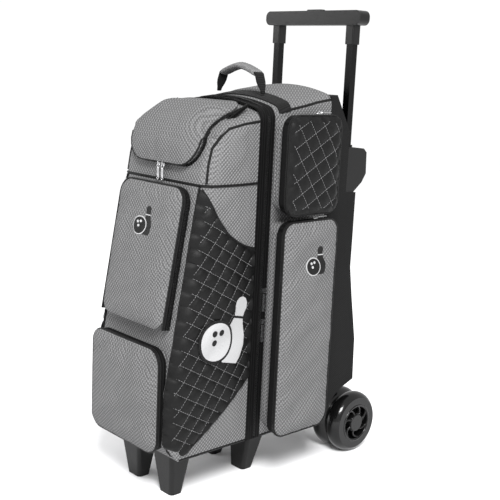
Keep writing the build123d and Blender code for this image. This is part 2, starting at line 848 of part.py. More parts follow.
def make_shoe_flap():
    """Hood over the top front corner, hinged behind, zipped along its sides and front."""
    with BuildPart() as flap:
        add(front_body(flap_gap + flap_thickness, flap_half_width))
        add(front_body(flap_gap, flap_half_width + 1), mode=Mode.SUBTRACT)
        add(box_between((-200, -half_length - 50, flap_front_low),
                        (200, zip_y - flap_hinge_depth, 900)), mode=Mode.INTERSECT)
    keep(flap.part, "shoe_flap")


lean = atan2(front_belly_depth - front_brow_depth, front_brow_height - front_belly_high)


def wall_plane(height, proud):
    """A plane on the leaning front wall: across is +X, up runs up the wall."""
    along = (height - front_belly_high) / cos(lean)
    y = zip_y - front_belly_depth + along * sin(lean) - proud * cos(lean)
    z = front_belly_high + along * cos(lean) + proud * sin(lean)
    return Plane(origin=(0, y, z), x_dir=(1, 0, 0), z_dir=(0, -cos(lean), sin(lean)))


def make_upper_front_pocket():
    """Pocket that leans with the front wall, its face zipped round an upside-down U."""
    middle = (upper_front_low + upper_front_high) / 2
    half_v = (upper_front_high - upper_front_low) / 2 / cos(lean)
    gusset = pocket_ring(wall_plane(middle, 0), upper_front_half_width, half_v, upper_front_proud,
                         pocket_corner + 8)
    panel = pocket_panel(wall_plane(middle, upper_front_proud + panel_gap),
                         upper_front_half_width + panel_overhang, half_v + panel_overhang,
                         panel_thickness, pocket_corner + 8, 3)
    keep(gusset, "upper_front_gusset")
    keep(panel, "upper_front_panel")


def make_lower_front_pocket():
    """Bulging pocket at the front's foot."""
    middle = (lower_front_low + lower_front_high) / 2
    half_v = (lower_front_high - lower_front_low) / 2
    face_y = front_face_y + lower_panel_thickness
    base = Plane(origin=(0, zip_y - front_belly_depth + 40, middle), x_dir=(1, 0, 0), z_dir=(0, -1, 0))
    reach = (zip_y - front_belly_depth + 40) - (face_y + panel_gap)
    with BuildPart() as gusset:
        add(pocket_ring(base, lower_front_half_width, half_v, reach, pocket_corner + 8))
        add(front_body(0, body_half_width), mode=Mode.SUBTRACT)
    panel = pocket_panel(Plane(origin=(0, face_y, middle), x_dir=(1, 0, 0), z_dir=(0, -1, 0)),
                         lower_front_half_width + panel_overhang, half_v + panel_overhang,
                         lower_panel_thickness, pocket_corner + 8, 8)
    keep(gusset.part, "lower_front_gusset")
    keep(panel, "lower_front_panel")


# Zip sliders and pulls
def make_main_pulls():
    """Two sliders on the main zip, right-hand side, and the pull that hangs from each."""
    x = body_half_width + tape_thickness
    y = zip_y + slider_depth
    half = slider_size / 2
    with BuildPart() as sliders:
        for z in slider_heights:
            add(box_between((x, y - half, z - half), (x + slider_rise, y + half, z + half)))
    keep(sliders.part, "main_zip_sliders")
    for z, name in zip(slider_heights, ("main_zip_pull_upper", "main_zip_pull_lower")):
        top = z - half - pull_gap
        with BuildPart() as pull:
            add(box_between((x + 1.5, y - pull_width / 2, top - pull_length),
                            (x + 1.5 + pull_thickness, y + pull_width / 2, top)))
        keep(pull.part, name)


def make_shoe_pulls():
    """Two pulls that hang at the middle of the shoe flap's front edge."""
    y = zip_y - front_brow_depth - 8
    with BuildPart() as pulls:
        for x in shoe_pull_xs:
            add(box_between((x - pull_width / 2, y - pull_thickness, flap_front_low - 0.5 - pull_length),
                            (x + pull_width / 2, y, flap_front_low - 0.5)))
    keep(pulls.part, "shoe_zip_pulls")


make_rear_shell()
make_back_shell()
make_back_board()
for index, name in enumerate(("lower_ball_cup", "middle_ball_cup", "upper_ball_cup")):
    make_ball_cup(index, name)
make_base_tray()
keep_pair(foot_solid(mid_foot_x, zip_y + mid_foot_depth, mid_foot_rake), "mid_foot")
keep_pair(foot_solid(front_foot_x, zip_y - front_foot_depth, 0), "front_foot")
make_rear_tape()
make_carry_band()
make_carry_handle()
make_wheel()
make_axle()
make_wheel_carrier()
make_tubes()
make_tube_brackets()
make_grip()
make_release()
make_side_pocket("upper_side", upper_pocket_length, upper_pocket_low, upper_pocket_high)
make_side_pocket("lower_side", lower_pocket_length, lower_pocket_low, lower_pocket_high)
make_front_shell()
make_divider()
make_front_tray()
make_front_tape()
make_shoe_flap()
make_upper_front_pocket()
make_lower_front_pocket()
make_main_pulls()
make_shoe_pulls()
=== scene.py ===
# %% [markdown]
# # An upright roller bag for three bowling balls
# The bag's frame, wheels, feet, trays, balls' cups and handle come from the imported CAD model. This
# lesson gives it what a sewing room gives it: cloth skins that swell and crease, quilted panels,
# piping, zips, embroidery and a wrapped carry handle. Every piece rides on a body of the frame.

# %% Load the frame
from math import atan2, ceil, cos, hypot, pi, radians, sin

import bpy
from mathutils import Matrix, Vector, noise


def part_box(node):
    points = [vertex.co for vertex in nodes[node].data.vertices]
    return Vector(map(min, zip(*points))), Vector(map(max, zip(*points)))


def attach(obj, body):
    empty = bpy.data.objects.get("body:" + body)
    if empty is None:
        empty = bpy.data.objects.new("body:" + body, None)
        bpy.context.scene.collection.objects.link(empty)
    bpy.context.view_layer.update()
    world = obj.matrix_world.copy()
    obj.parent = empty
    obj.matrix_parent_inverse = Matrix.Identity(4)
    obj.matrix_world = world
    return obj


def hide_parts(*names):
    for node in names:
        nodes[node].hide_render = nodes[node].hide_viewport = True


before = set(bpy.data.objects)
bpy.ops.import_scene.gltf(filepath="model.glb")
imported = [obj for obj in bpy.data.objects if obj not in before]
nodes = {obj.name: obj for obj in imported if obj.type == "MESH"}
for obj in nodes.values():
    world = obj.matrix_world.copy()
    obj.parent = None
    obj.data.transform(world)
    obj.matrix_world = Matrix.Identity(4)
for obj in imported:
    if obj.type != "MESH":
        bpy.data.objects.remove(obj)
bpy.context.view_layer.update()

# %% [markdown]
# ## Helpers for working by hand
# Most of Blender's operators act on everything that is selected, so each one below first selects a
# single object. A mesh can only bend where it has vertices: `slice_up` cuts a piece into a fine grid
# with bisect planes, which keeps its outline exactly, where a remesh would round every seam away.
# Cords, tapes and badges start as curves: `drawn` makes the curve and `meshed` turns it into a mesh.

# %% Selecting, slicing and shaping
MM = 0.001


def only(ob):
    bpy.ops.object.select_all(action="DESELECT")
    ob.select_set(True)
    bpy.context.view_layer.objects.active = ob


def edit(ob):
    only(ob)
    bpy.ops.object.mode_set(mode="EDIT")
    bpy.ops.mesh.select_all(action="SELECT")


def leave():
    bpy.ops.object.mode_set(mode="OBJECT")


def mesh_box(ob):
    low = [min(v.co[k] for v in ob.data.vertices) for k in range(3)]
    high = [max(v.co[k] for v in ob.data.vertices) for k in range(3)]
    return low, high


def slice_up(ob, step, axes=(0, 1, 2)):
    """Cut the whole mesh by planes that stand a step apart along each axis."""
    steps = step if isinstance(step, tuple) else (step, step, step)
    low, high = mesh_box(ob)
    edit(ob)
    for axis in axes:
        count = ceil((high[axis] - low[axis]) / steps[axis])
        for k in range(1, count):
            point = Vector((0, 0, 0))
            point[axis] = low[axis] + k * (high[axis] - low[axis]) / count
            normal = Vector((0, 0, 0))
            normal[axis] = 1
            bpy.ops.mesh.select_all(action="SELECT")
            bpy.ops.mesh.bisect(plane_co=point, plane_no=normal)
    leave()


def slice_along(ob, directions, step):
    """Cut a flat mesh by planes square to each direction, through the origin and a step apart."""
    edit(ob)
    for angle in directions:
        normal = Vector((-sin(angle), cos(angle), 0))
        heights = [v.co.dot(normal) for v in ob.data.vertices]
        for k in range(ceil(min(heights) / step), int(max(heights) / step) + 1):
            bpy.ops.mesh.select_all(action="SELECT")
            bpy.ops.mesh.bisect(plane_co=normal * (k * step), plane_no=normal)
    leave()


def shape(ob, move):
    """Shift each point of the mesh by what move says of its place."""
    for v in ob.data.vertices:
        v.co += Vector(move(*v.co))
    ob.data.update()


def put(ob, matrix):
    """Apply a place, or a function that lays each point, to the mesh itself."""
    if callable(matrix):
        for v in ob.data.vertices:
            v.co = Vector(matrix(*v.co))
        ob.data.update()
        return
    ob.data.transform(matrix)
    if matrix.determinant() < 0:
        ob.data.flip_normals()
    ob.data.update()


def modify(ob, kind, **settings):
    """Add a modifier with these settings, and apply it."""
    only(ob)
    modifier = ob.modifiers.new(kind.lower(), kind)
    for key, value in settings.items():
        setattr(modifier, key, value)
    bpy.ops.object.modifier_apply(modifier=modifier.name)


def smooth(ob, angle=35):
    only(ob)
    bpy.ops.object.shade_smooth_by_angle(angle=radians(angle))


def face_out(ob):
    """Make all normals of a piece agree."""
    edit(ob)
    bpy.ops.mesh.normals_make_consistent(inside=False)
    leave()


def block(name, size, place, bevel, segments):
    """A box of some size at a place, with bevelled edges."""
    bpy.ops.object.select_all(action="DESELECT")
    bpy.ops.mesh.primitive_cube_add(size=1)
    ob = bpy.context.object
    ob.name = name
    bpy.ops.object.mode_set(mode="EDIT")
    bpy.ops.transform.resize(value=size)
    bpy.ops.transform.translate(value=place)
    bpy.ops.mesh.bevel(offset=bevel, segments=segments)
    leave()
    return ob


def drawn(name, runs, cyclic=False, dimensions="3D"):
    """A curve through runs of flat or solid points."""
    curve = bpy.data.curves.new(name, "CURVE")
    curve.dimensions = dimensions
    for run in runs:
        spline = curve.splines.new("POLY")
        spline.points.add(len(run) - 1)
        for point, place in zip(spline.points, run):
            point.co = (*place, *(0,) * (3 - len(place)), 1)
        spline.use_cyclic_u = cyclic
    ob = bpy.data.objects.new(name, curve)
    bpy.context.scene.collection.objects.link(ob)
    return ob


def meshed(ob):
    """Turn a curve into a mesh."""
    only(ob)
    bpy.ops.object.convert(target="MESH")
    return bpy.context.object


def ease(t):
    t = min(max(t, 0.0), 1.0)
    return t * t * (3 - 2 * t)


def outward(x):
    """The direction in which a side faces: 1 on the right half and -1 on the left."""
    return 1 if x > 0 else -1


def ruck(a, b, long=0.09, short=0.022, seed=0.0):
    """A crease field from -1 to 1, long one way and short across, as pulled cloth has."""
    return noise.noise(Vector((a / long, b / short, seed)))


def touch(cloth, start, direction, proud):
    """The point where a ray from outside meets the cloth, a little short of it."""
    direction = Vector(direction).normalized()
    hit, place, *_ = cloth.ray_cast(Vector(start), direction)
    return place - direction * proud if hit else Vector(start)


def sew_in(ob, body, material, slot, *replaced):
    """Give a finished piece its finish and its body, and hide the CAD parts it replaces. The slot is
    not used.
    """
    ob.data.materials.clear()
    ob.data.materials.append(material)
    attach(ob, body)
    if replaced:
        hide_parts(*replaced)
    print(ob.name, "on", body, len(ob.data.polygons), "faces")
    return ob


# %% [markdown]
# ## Node helpers
# A finish is a small tree of nodes. `Tree` only saves typing: `math` adds a Math node and `mix`
# blends two colours. All patterns read Object coordinates, so they stay on the piece in any view.

# %% A short way to write node trees
class Tree:
    def __init__(self, name, roughness, metallic=0.0, sheen=0.0, coat=0.0, specular=0.5):
        self.material = bpy.data.materials.new(name)
        self.material.use_nodes = True
        self.nodes = self.material.node_tree.nodes
        self.links = self.material.node_tree.links
        self.shader = self.nodes["Principled BSDF"]
        self.shader.inputs["Roughness"].default_value = roughness
        self.shader.inputs["Metallic"].default_value = metallic
        self.shader.inputs["Sheen Weight"].default_value = sheen
        self.shader.inputs["Coat Weight"].default_value = coat
        self.shader.inputs["Specular IOR Level"].default_value = specular
        self.place = self.nodes.new("ShaderNodeTexCoord").outputs["Object"]

    def wire(self, value, socket):
        if isinstance(value, bpy.types.NodeSocket):
            self.links.new(value, socket)
        else:
            socket.default_value = value

    def math(self, operation, a, b=0.0, c=0.0):
        node = self.nodes.new("ShaderNodeMath")
        node.operation = operation
        for value, socket in zip((a, b, c), node.inputs):
            self.wire(value, socket)
        return node.outputs[0]

    def along(self, direction, pitch):
        """How many pitches a point lies along a direction."""
        node = self.nodes.new("ShaderNodeVectorMath")
        node.operation = "DOT_PRODUCT"
        self.links.new(self.place, node.inputs[0])
        node.inputs[1].default_value = Vector(direction).normalized() / pitch
        return node.outputs["Value"]

    def wave(self, direction, pitch):
        """A sine from 0 to 1 that repeats every pitch along a direction."""
        turn = self.math("MULTIPLY", self.along(direction, pitch), 2 * pi)
        return self.math("MULTIPLY_ADD", self.math("SINE", turn), 0.5, 0.5)

    def noise(self, scale, detail=3.0, stretch=(1, 1, 1)):
        mapping = self.nodes.new("ShaderNodeMapping")
        mapping.inputs["Scale"].default_value = stretch
        self.links.new(self.place, mapping.inputs["Vector"])
        node = self.nodes.new("ShaderNodeTexNoise")
        node.inputs["Scale"].default_value = scale
        node.inputs["Detail"].default_value = detail
        self.links.new(mapping.outputs[0], node.inputs["Vector"])
        return node.outputs["Fac"]

    def mix(self, factor, a, b):
        node = self.nodes.new("ShaderNodeMix")
        node.data_type = "RGBA"
        self.wire(factor, node.inputs["Factor"])
        for value, socket in ((a, node.inputs["A"]), (b, node.inputs["B"])):
            grey = isinstance(value, float)
            self.wire((value, value, value * 1.01, 1) if grey else value, socket)
        return node.outputs["Result"]

    def colour(self, value):
        self.wire(value, self.shader.inputs["Base Color"])

    def vary_roughness(self, factor, low, high):
        spread = self.math("MULTIPLY_ADD", factor, high - low, low)
        self.links.new(spread, self.shader.inputs["Roughness"])

    def bump(self, height, depth, strength=1.0):
        node = self.nodes.new("ShaderNodeBump")
        node.inputs["Strength"].default_value = strength
        node.inputs["Distance"].default_value = depth
        self.links.new(height, node.inputs["Height"])
        self.links.new(node.outputs[0], self.shader.inputs["Normal"])


# %% [markdown]
# ## Woven cloth
# Heavy bag polyester shows small lozenges, because thick yarns pass over and under each other. Two
# sines that cross make the lozenges: their sum is the cloth's height, and it tints the high yarns
# lighter. The three directions are chosen so that some pair crosses on every side of a box.

# %% Weave finishes
def weave(name, dark, light, pitch, depth, roughness=0.75, sheen=0.15, fold_shade=0.18):
    tree = Tree(name, roughness, sheen=sheen, specular=0.1)
    rising = tree.wave((1, 1, 1), pitch)
    falling = tree.wave((1, 1, -1), pitch)
    yarn = tree.wave((1, -1, 1), pitch)
    lozenge = tree.math("MULTIPLY", rising, falling)
    height = tree.math("MULTIPLY_ADD", yarn, 0.35, lozenge)
    fade = tree.noise(9.0)
    fleck = tree.noise(900.0, 2.0)
    cloth = tree.mix(height, dark, light)
    # Painted shade: broad random blotches of the fade noise pull the cloth towards its dark yarn,
    # standing in for the shading of soft folds.
    fold_shaded = tree.mix(tree.math("MULTIPLY", fade, fold_shade), cloth, dark * 0.8)
    tree.colour(tree.mix(tree.math("MULTIPLY", fleck, 0.35), fold_shaded, light))
    tree.vary_roughness(fade, roughness - 0.08, roughness + 0.08)
    tree.bump(height, depth, 0.9)
    return tree.material


def webbing(name, dark, light, run, across, pitch):
    """Ribs across a strap, each broken along its run as a plain weave is."""
    tree = Tree(name, 0.7, sheen=0.02, specular=0.1)
    ribs = tree.wave(across, pitch)
    picks = tree.wave(run, pitch * 0.8)
    height = tree.math("MULTIPLY", ribs, picks)
    fuzz = tree.noise(350.0)
    tree.colour(tree.mix(tree.math("MULTIPLY_ADD", fuzz, 0.5, height), dark, light))
    tree.vary_roughness(fuzz, 0.6, 0.85)
    tree.bump(height, 0.0006)
    return tree.material


grey_weave = weave("grey_weave", 0.032, 0.20, 4.4 * MM, 0.0008, sheen=0.02)
pocket_weave = weave("pocket_weave", 0.030, 0.185, 4.4 * MM, 0.0008, sheen=0.02)
charcoal_weave = weave("charcoal_weave", 0.002, 0.010, 2.6 * MM, 0.0003, 0.8, 0.02)
band_webbing = webbing("band_webbing", 0.002, 0.011, (1, 0, 0.3), (0, 1, 0), 2.4 * MM)
strap_webbing = webbing("strap_webbing", 0.002, 0.011, (1, 0, 1), (0, 1, 0), 2.4 * MM)
print("weaves made")

# %% [markdown]
# ## Quilted cloth, tape, thread and piping
# The quilted satin is darker and smoother than the weave. Its lozenges are real shapes, made later,
# so the finish only adds the satin's fine grain. Zip tape has a herringbone, and piping is a cord
# inside a bias-cut strip, so its yarns run round it on the slant.

# %% Trim finishes
def satin(name, tone):
    tree = Tree(name, 0.5, specular=0.15)
    grain = tree.noise(1400.0, 2.0, (1, 1, 0.25))
    cloud = tree.noise(22.0)
    tree.colour(tree.mix(tree.math("MULTIPLY", grain, cloud), tone * 0.4, tone * 2.2))
    tree.vary_roughness(cloud, 0.42, 0.62)
    tree.bump(grain, 0.0003)
    return tree.material


def tape(name, across):
    tree = Tree(name, 0.62, specular=0.05)
    slant = tree.wave((0.4, 0.8, 1), 1.8 * MM)
    edge = tree.wave(across, 5.6 * MM)
    height = tree.math("MULTIPLY_ADD", slant, 0.5, edge)
    tree.colour(tree.mix(height, 0.001, 0.006))
    tree.vary_roughness(tree.noise(60.0), 0.5, 0.72)
    tree.bump(height, 0.0005)
    return tree.material


def thread(name, dark, light, shine=0.5):
    tree = Tree(name, shine, sheen=0.02, specular=0.15)
    twist = tree.wave((1, 1, 2), 1.1 * MM)
    tree.colour(tree.mix(twist, dark, light))
    tree.vary_roughness(tree.noise(200.0), shine - 0.08, shine + 0.1)
    tree.bump(twist, 0.0002)
    return tree.material


quilt_satin = satin("quilt_satin", 0.004)
zip_cloth = tape("zip_cloth", (0, 1, 0))
piping_cloth = thread("piping_cloth", 0.001, 0.004, 0.55)
coil_nylon = thread("coil_nylon", 0.002, 0.012, 0.35)
stitch_thread = thread("stitch_thread", 0.12, 0.24)
silver_thread = thread("silver_thread", 0.25, 0.45, 0.4)
black_thread = thread("black_thread", 0.0015, 0.008, 0.45)
wrap_cloth = weave("grip_wrap_cloth", 0.05, 0.24, 2.6 * MM, 0.0008, sheen=0.02)
print("trim finishes made")

# %% [markdown]
# ## Plastic, rubber and metal
# Moulded plastic has a fine spark-eroded grain, and scuffs that lighten its high spots. The wheels'
# urethane is glossy, with a clear coat and faint rolling marks. The drawn tubes have fine lines down
# their length, and the plated zip pulls are smooth metal with small dull spots.

# %% Hard finishes
def plastic(name, tone, roughness, grain_scale=700.0, coat=0.0):
    tree = Tree(name, roughness, coat=coat, specular=0.25)
    grain = tree.noise(grain_scale, 2.0)
    scuff = tree.math("GREATER_THAN", tree.noise(38.0, 6.0), 0.66)
    tree.colour(tree.mix(tree.math("MULTIPLY", scuff, 0.3), tone, tone * 2.6))
    tree.vary_roughness(grain, roughness - 0.08, roughness + 0.12)
    tree.bump(grain, 0.00025, 0.6)
    return tree.material


def metal(name, tone, roughness, run=(0, 0, 1)):
    tree = Tree(name, roughness, metallic=1.0)
    stretch = tuple(0.04 if k else 1.0 for k in run)
    lines = tree.noise(420.0, 3.0, stretch)
    tree.colour(tree.mix(lines, tone * 0.75, tone))
    tree.vary_roughness(lines, roughness - 0.07, roughness + 0.15)
    tree.bump(lines, 0.0001, 0.4)
    return tree.material


tube_metal = metal("anodised_tube", 0.02, 0.2)
steel = metal("bright_steel", 0.55, 0.25)
nickel = metal("nickel_plate", 0.62, 0.2)
grip_plastic = plastic("grip_plastic", 0.003, 0.3)
button_plastic = plastic("button_plastic", 0.010, 0.3)
tray_plastic = plastic("tray_plastic", 0.005, 0.5, 500.0)
core_plastic = plastic("wheel_core_plastic", 0.003, 0.22, coat=0.1)
urethane = plastic("wheel_urethane", 0.003, 0.14, 260.0, coat=0.1)
sheet_plastic = plastic("stiffener_sheet", 0.05, 0.6)
foam = plastic("ball_cup_foam", 0.03, 0.85, 180.0)

CARRIED_OVER = {
    tube_metal: ("outer_tube_left", "outer_tube_right", "inner_tube_left", "inner_tube_right"),
    steel: ("axle", "wheel_bearings_left", "wheel_bearings_right", "lock_pin_left", "lock_pin_right",
            "release_yoke", "grip_screws", "button_spring"),
    grip_plastic: ("grip_front_shell", "grip_rear_shell"),
    button_plastic: ("release_button",),
    tray_plastic: ("base_tray", "front_tray", "front_foot_left", "front_foot_right", "mid_foot_left",
                   "mid_foot_right", "wheel_carrier", "upper_tube_bracket", "lower_tube_bracket"),
    core_plastic: ("wheel_core_left", "wheel_core_right", "wheel_cap_left", "wheel_cap_right"),
    urethane: ("tyre_left", "tyre_right"),
    sheet_plastic: ("divider_panel", "back_board"),
    foam: ("lower_ball_cup", "middle_ball_cup", "upper_ball_cup"),
    zip_cloth: ("front_zip_tape", "rear_zip_tape"),
    nickel: ("main_zip_sliders", "main_zip_pull_upper", "main_zip_pull_lower", "shoe_zip_pulls"),
}
for finish, names in CARRIED_OVER.items():
    for name in names:
        node = nodes[name]
        if not node.material_slots:
            node.data.materials.append(finish)
        for place in node.material_slots:
            place.material = finish
print("carried over", sum(len(names) for names in CARRIED_OVER.values()), "nodes")

# %% [markdown]
# ## Where the cloth lies
# Piping, quilting and cloth must all follow one surface, or they float or sink. So the front
# section's skin is written once: its profile from the side, its rounded corners, and how far the
# padded sides swell. Everything that is sewn to it asks these functions for its place.

# %% The front section's surface
shell_low, shell_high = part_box("front_shell")
side_x = shell_high[0]
zip_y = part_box("front_zip_tape")[1][1]
belly_y = shell_low[1]
brow_y = belly_y + 61 * MM
PROFILE = ((belly_y + 20 * MM, 95 * MM), (belly_y, 124 * MM), (belly_y, 219 * MM),
           (brow_y, 578 * MM), (brow_y + 15 * MM, 671 * MM), (brow_y + 43 * MM, 716 * MM),
           (brow_y + 80 * MM, 731 * MM))
CORNER = 22 * MM
SIDE_RUN = 20 * MM  # how far before the main zip's plane the sides' padding ends
ROOF_FRONT = 730 * MM


def front_wall(z):
    """The front wall's y at a height."""
    for (y0, z0), (y1, z1) in zip(PROFILE, PROFILE[1:]):
        if z <= z1:
            return y0 + (y1 - y0) * (z - z0) / (z1 - z0)
    return PROFILE[-1][0]


BROW_FACETS = PROFILE[3:] + ((zip_y, ROOF_FRONT),)
BROW_SHIFT = ((0, 0), (4 * MM, -5 * MM), (2 * MM, -24 * MM), (0, -21 * MM), (0, -3 * MM))
SAMPLES_PER_FACET = 8
BULGE = 0.24  # four times the height of a facet's bow, as a share of its length
BROW_REACH = 0.08
BROW_SAMPLES = []
for (y0, z0), (y1, z1), (a0, b0), (a1, b1) in zip(BROW_FACETS, BROW_FACETS[1:],
                                                  BROW_SHIFT, BROW_SHIFT[1:]):
    run_y, run_z = y1 - y0, z1 - z0
    length = hypot(run_y, run_z)
    for k in range(SAMPLES_PER_FACET):
        t = k / SAMPLES_PER_FACET
        rise = min(length, 50 * MM) * BULGE * t * (1 - t)
        BROW_SAMPLES.append((y0 + run_y * t, z0 + run_z * t,
                             a0 + (a1 - a0) * t - rise * run_z / length,
                             b0 + (b1 - b0) * t + rise * run_y / length))


def dome(y, z):
    """How far the soft, rounded brow lies from its flat CAD facets, as a step in y and z."""
    if z < PROFILE[3][1]:
        return 0.0, 0.0
    total, step_y, step_z, near = 0.0, 0.0, 0.0, 1.0
    for at_y, at_z, dy, dz in BROW_SAMPLES:
        gap = (y - at_y) ** 2 + (z - at_z) ** 2
        near = min(near, gap)
        weight = 1 / (gap + 2e-5) ** 2
        total += weight
        step_y += weight * dy
        step_z += weight * dz
    fade = ease(1 - near**0.5 / BROW_REACH) / total
    return step_y * fade, step_z * fade


def side_swell(y, z):
    """How far the padded side of the front section stands out at a point."""
    fade = 0.4 * (zip_y - SIDE_RUN - front_wall(z))
    across = ease((zip_y - SIDE_RUN - y) / fade) * ease((y - front_wall(z)) / fade)
    up = ease((z - 0.10) / 0.06) * ease((0.725 - z) / 0.05)
    crease = ruck(y + 0.6 * z, z - 0.8 * y, 0.15, 0.045, 3.0)
    return across * up * (4.0 + 5.0 * crease) * MM


def corner_x(y, z):
    """The side's x at a point, round the upright corner and out over the swell."""
    inside = front_wall(z) + CORNER - y
    if inside <= 0 or not 0.09 < z < 0.60:
        return side_x + side_swell(y, z)
    return side_x - CORNER + (CORNER**2 - min(inside, CORNER)**2) ** 0.5 + side_swell(y, z)


print("front section", [round(v, 3) for v in (side_x, zip_y, belly_y, brow_y)])

# %% [markdown]
# ## The cloth skins
# The bag's body is padded cloth over foam. Each skin starts as a copy of the CAD shell, so its
# openings and seams are true, is sliced into a fine grid and then sculpted: sides and front belly
# out between their seams, and a stretched noise presses in the soft creases that pulled cloth has.

# %% Skins of the two sections, the back and the pocket walls
SIDE_FROM, SIDE_FADE = 0.108, 0.008


def on_a_side(x):
    """0 on the front, the roof and the back, and 1 on a side."""
    return ease((abs(x) - SIDE_FROM) / SIDE_FADE)


def skin(node, name, step, move, material, body, slot, angle=40):
    """A sculpted copy of a CAD cloth part, which stands for it."""
    ob = bpy.data.objects.new(name, nodes[node].data.copy())
    bpy.context.scene.collection.objects.link(ob)
    edit(ob)
    bpy.ops.mesh.remove_doubles(threshold=0.00002)
    leave()
    bpy.ops.mesh.customdata_custom_splitnormals_clear()
    slice_up(ob, step)
    shape(ob, move)
    smooth(ob, angle)
    return sew_in(ob, body, material, slot, node)


def front_move(x, y, z):
    face = ease((front_wall(z) + 0.016 - y) / 0.010) * ease((0.118 - abs(x)) / 0.03)
    dx = on_a_side(x) * side_swell(y, z) * outward(x)
    sag = ruck(x + 0.5 * z, z - 0.3 * x, 0.10, 0.03, 8.0)
    dy = -face * ease((z - 0.10) / 0.05) * ease((0.60 - z) / 0.04) * (1.5 + 3.0 * sag) * MM
    dome_y, dome_z = dome(y, z)
    return dx, dy + dome_y, dome_z


def rear_move(x, y, z):
    side = on_a_side(x) * ease((y - (zip_y + 0.02)) / 0.02)
    side *= ease((0.10 - y) / 0.02) * ease((z - 0.10) / 0.02) * ease((0.73 - z) / 0.02)
    crease = ruck(z + 0.5 * y, y - 0.4 * z, 0.10, 0.03, 11.0)
    roof = ease((z - 0.725) / 0.015) * ease((y - 0.005) / 0.02) * ease((0.10 - y) / 0.02)
    roof *= ease((0.105 - abs(x)) / 0.03)
    fold = ruck(x + y, y - x, 0.09, 0.035, 14.0)
    return side * crease * 2.2 * MM * outward(x), 0, roof * (1.5 + 3.0 * fold) * MM


def back_move(x, y, z):
    crease = ruck(z, y + x, 0.14, 0.05, 17.0)
    side = on_a_side(x) * ease((y - 0.11) / 0.02) * ease((z - 0.14) / 0.05)
    return side * crease * 0.8 * MM * outward(x), 0, 0


front_cloth = skin("front_shell", "front_cloth", 9 * MM, front_move, grey_weave,
                   "front_section", "grey_cloth")
rear_cloth = skin("rear_shell", "rear_cloth", 11 * MM, rear_move, grey_weave,
                  "chassis", "grey_cloth")
skin("back_shell", "back_cloth", 11 * MM, back_move, charcoal_weave, "chassis", "black_cloth")

# %% [markdown]
# ## The band over the roof
# The carry handle is sewn to a webbing band that crosses the roof and turns down over its shoulders.
# A strip is hung above the roof and shrink-wrapped on to the cloth, so it follows every curve of it.

# %% Roof band
band_low, band_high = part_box("carry_band")
band_y, band_width = (band_low[1] + band_high[1]) / 2, band_high[1] - band_low[1]
HALF_ARCH = radians(64)
bpy.ops.object.select_all(action="DESELECT")
bpy.ops.mesh.primitive_grid_add(x_subdivisions=72, y_subdivisions=6, size=2)
band = bpy.context.object
band.name = "carry_band_webbing"


def hung(u, v, w):
    """A point of the strip, in a wide arch over the roof."""
    angle = u * HALF_ARCH
    across = (0.5 - 0.12 * abs(u) ** 3) * v * band_width
    return 0.145 * sin(angle) / sin(HALF_ARCH), band_y + across, 0.66 + 0.13 * cos(angle)


put(band, hung)
modify(band, "SHRINKWRAP", target=rear_cloth, wrap_method="NEAREST_SURFACEPOINT",
       wrap_mode="ABOVE_SURFACE", offset=1.4 * MM)
modify(band, "SMOOTH", iterations=4, factor=0.5)
modify(band, "SOLIDIFY", thickness=2.2 * MM, offset=0)
smooth(band, 50)
sew_in(band, "chassis", band_webbing, "black_webbing", "carry_band")

# %% [markdown]
# ## Pocket walls with pleats
# The walls of the side pockets fold in when the pockets are empty, so their front walls hang in fine
# upright pleats. A sine across the wall, strongest half way up, is how a row of pleats is drawn.

# %% Pleated gussets


def pleats(low, high):
    """Pleats on a side pocket's front wall, and slack in its other walls."""
    def move(x, y, z):
        front = ease((low[1] + 0.005 - y) / 0.003)
        up = ease((z - low[2] - 0.012) / 0.03) * ease((high[2] - 0.012 - z) / 0.03)
        across = ease((abs(x) - side_x - 0.002) / 0.006) * ease((high[0] - 0.001 - abs(x)) / 0.006)
        fold = sin(2 * pi * abs(x) / (9 * MM) + 3 * noise.noise(Vector((0, 0, z * 9))))
        slack = ruck(z, y, 0.09, 0.03, 5.0)
        drawn = front * up * across
        dz = ease((abs(z - (low[2] + high[2]) / 2) - (high[2] - low[2]) / 2 + 0.006) / 0.003)
        return 0, drawn * (2.0 * fold - 2.0) * MM, dz * across * slack * 1.2 * MM
    return move


for side in ("left", "right"):
    for level in ("upper", "lower"):
        node = f"{level}_side_gusset_{side}"
        low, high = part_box(node)
        reach = (min(abs(low[0]), abs(high[0])), max(abs(low[0]), abs(high[0])))
        move = pleats(low, (reach[1], high[1], high[2]))
        skin(node, f"{level}_side_wall_{side}", (1.6 * MM, 8 * MM, 8 * MM), move, grey_weave,
             "chassis", "grey_cloth", 60)


def front_wall_slack(x, y, z):
    slack = ruck(z + x, y, 0.07, 0.02, 6.0)
    return slack * 0.6 * MM * outward(x), 0, 0


for level in ("upper", "lower"):
    skin(f"{level}_front_gusset", f"{level}_front_wall", 8 * MM, front_wall_slack, grey_weave,
         "front_section", "grey_cloth")

# %% [markdown]
# ## Padded pocket faces
# A pocket's face is a padded panel: a rounded oblong, crowned in the middle and drawn down to its
# seams. It starts as a plane whose corners are bevelled, is sliced, raised, given its thickness, and
# then blown up a little as cloth with its rim held, which gives the small natural ripples at the rim.

# %% Pads
UP = Vector((0, 0, 1))


def spot(origin, across, up=UP):
    """A place on the bag: local X runs across, local Y up, and local Z stands out of the cloth."""
    across, up = Vector(across).normalized(), Vector(up).normalized()
    out = across.cross(up)
    matrix = Matrix((across, up, out)).transposed().to_4x4()
    return Matrix.Translation(Vector(origin)) @ matrix


def mirrored(matrix):
    return Matrix.Scale(-1, 4, (1, 0, 0)) @ matrix


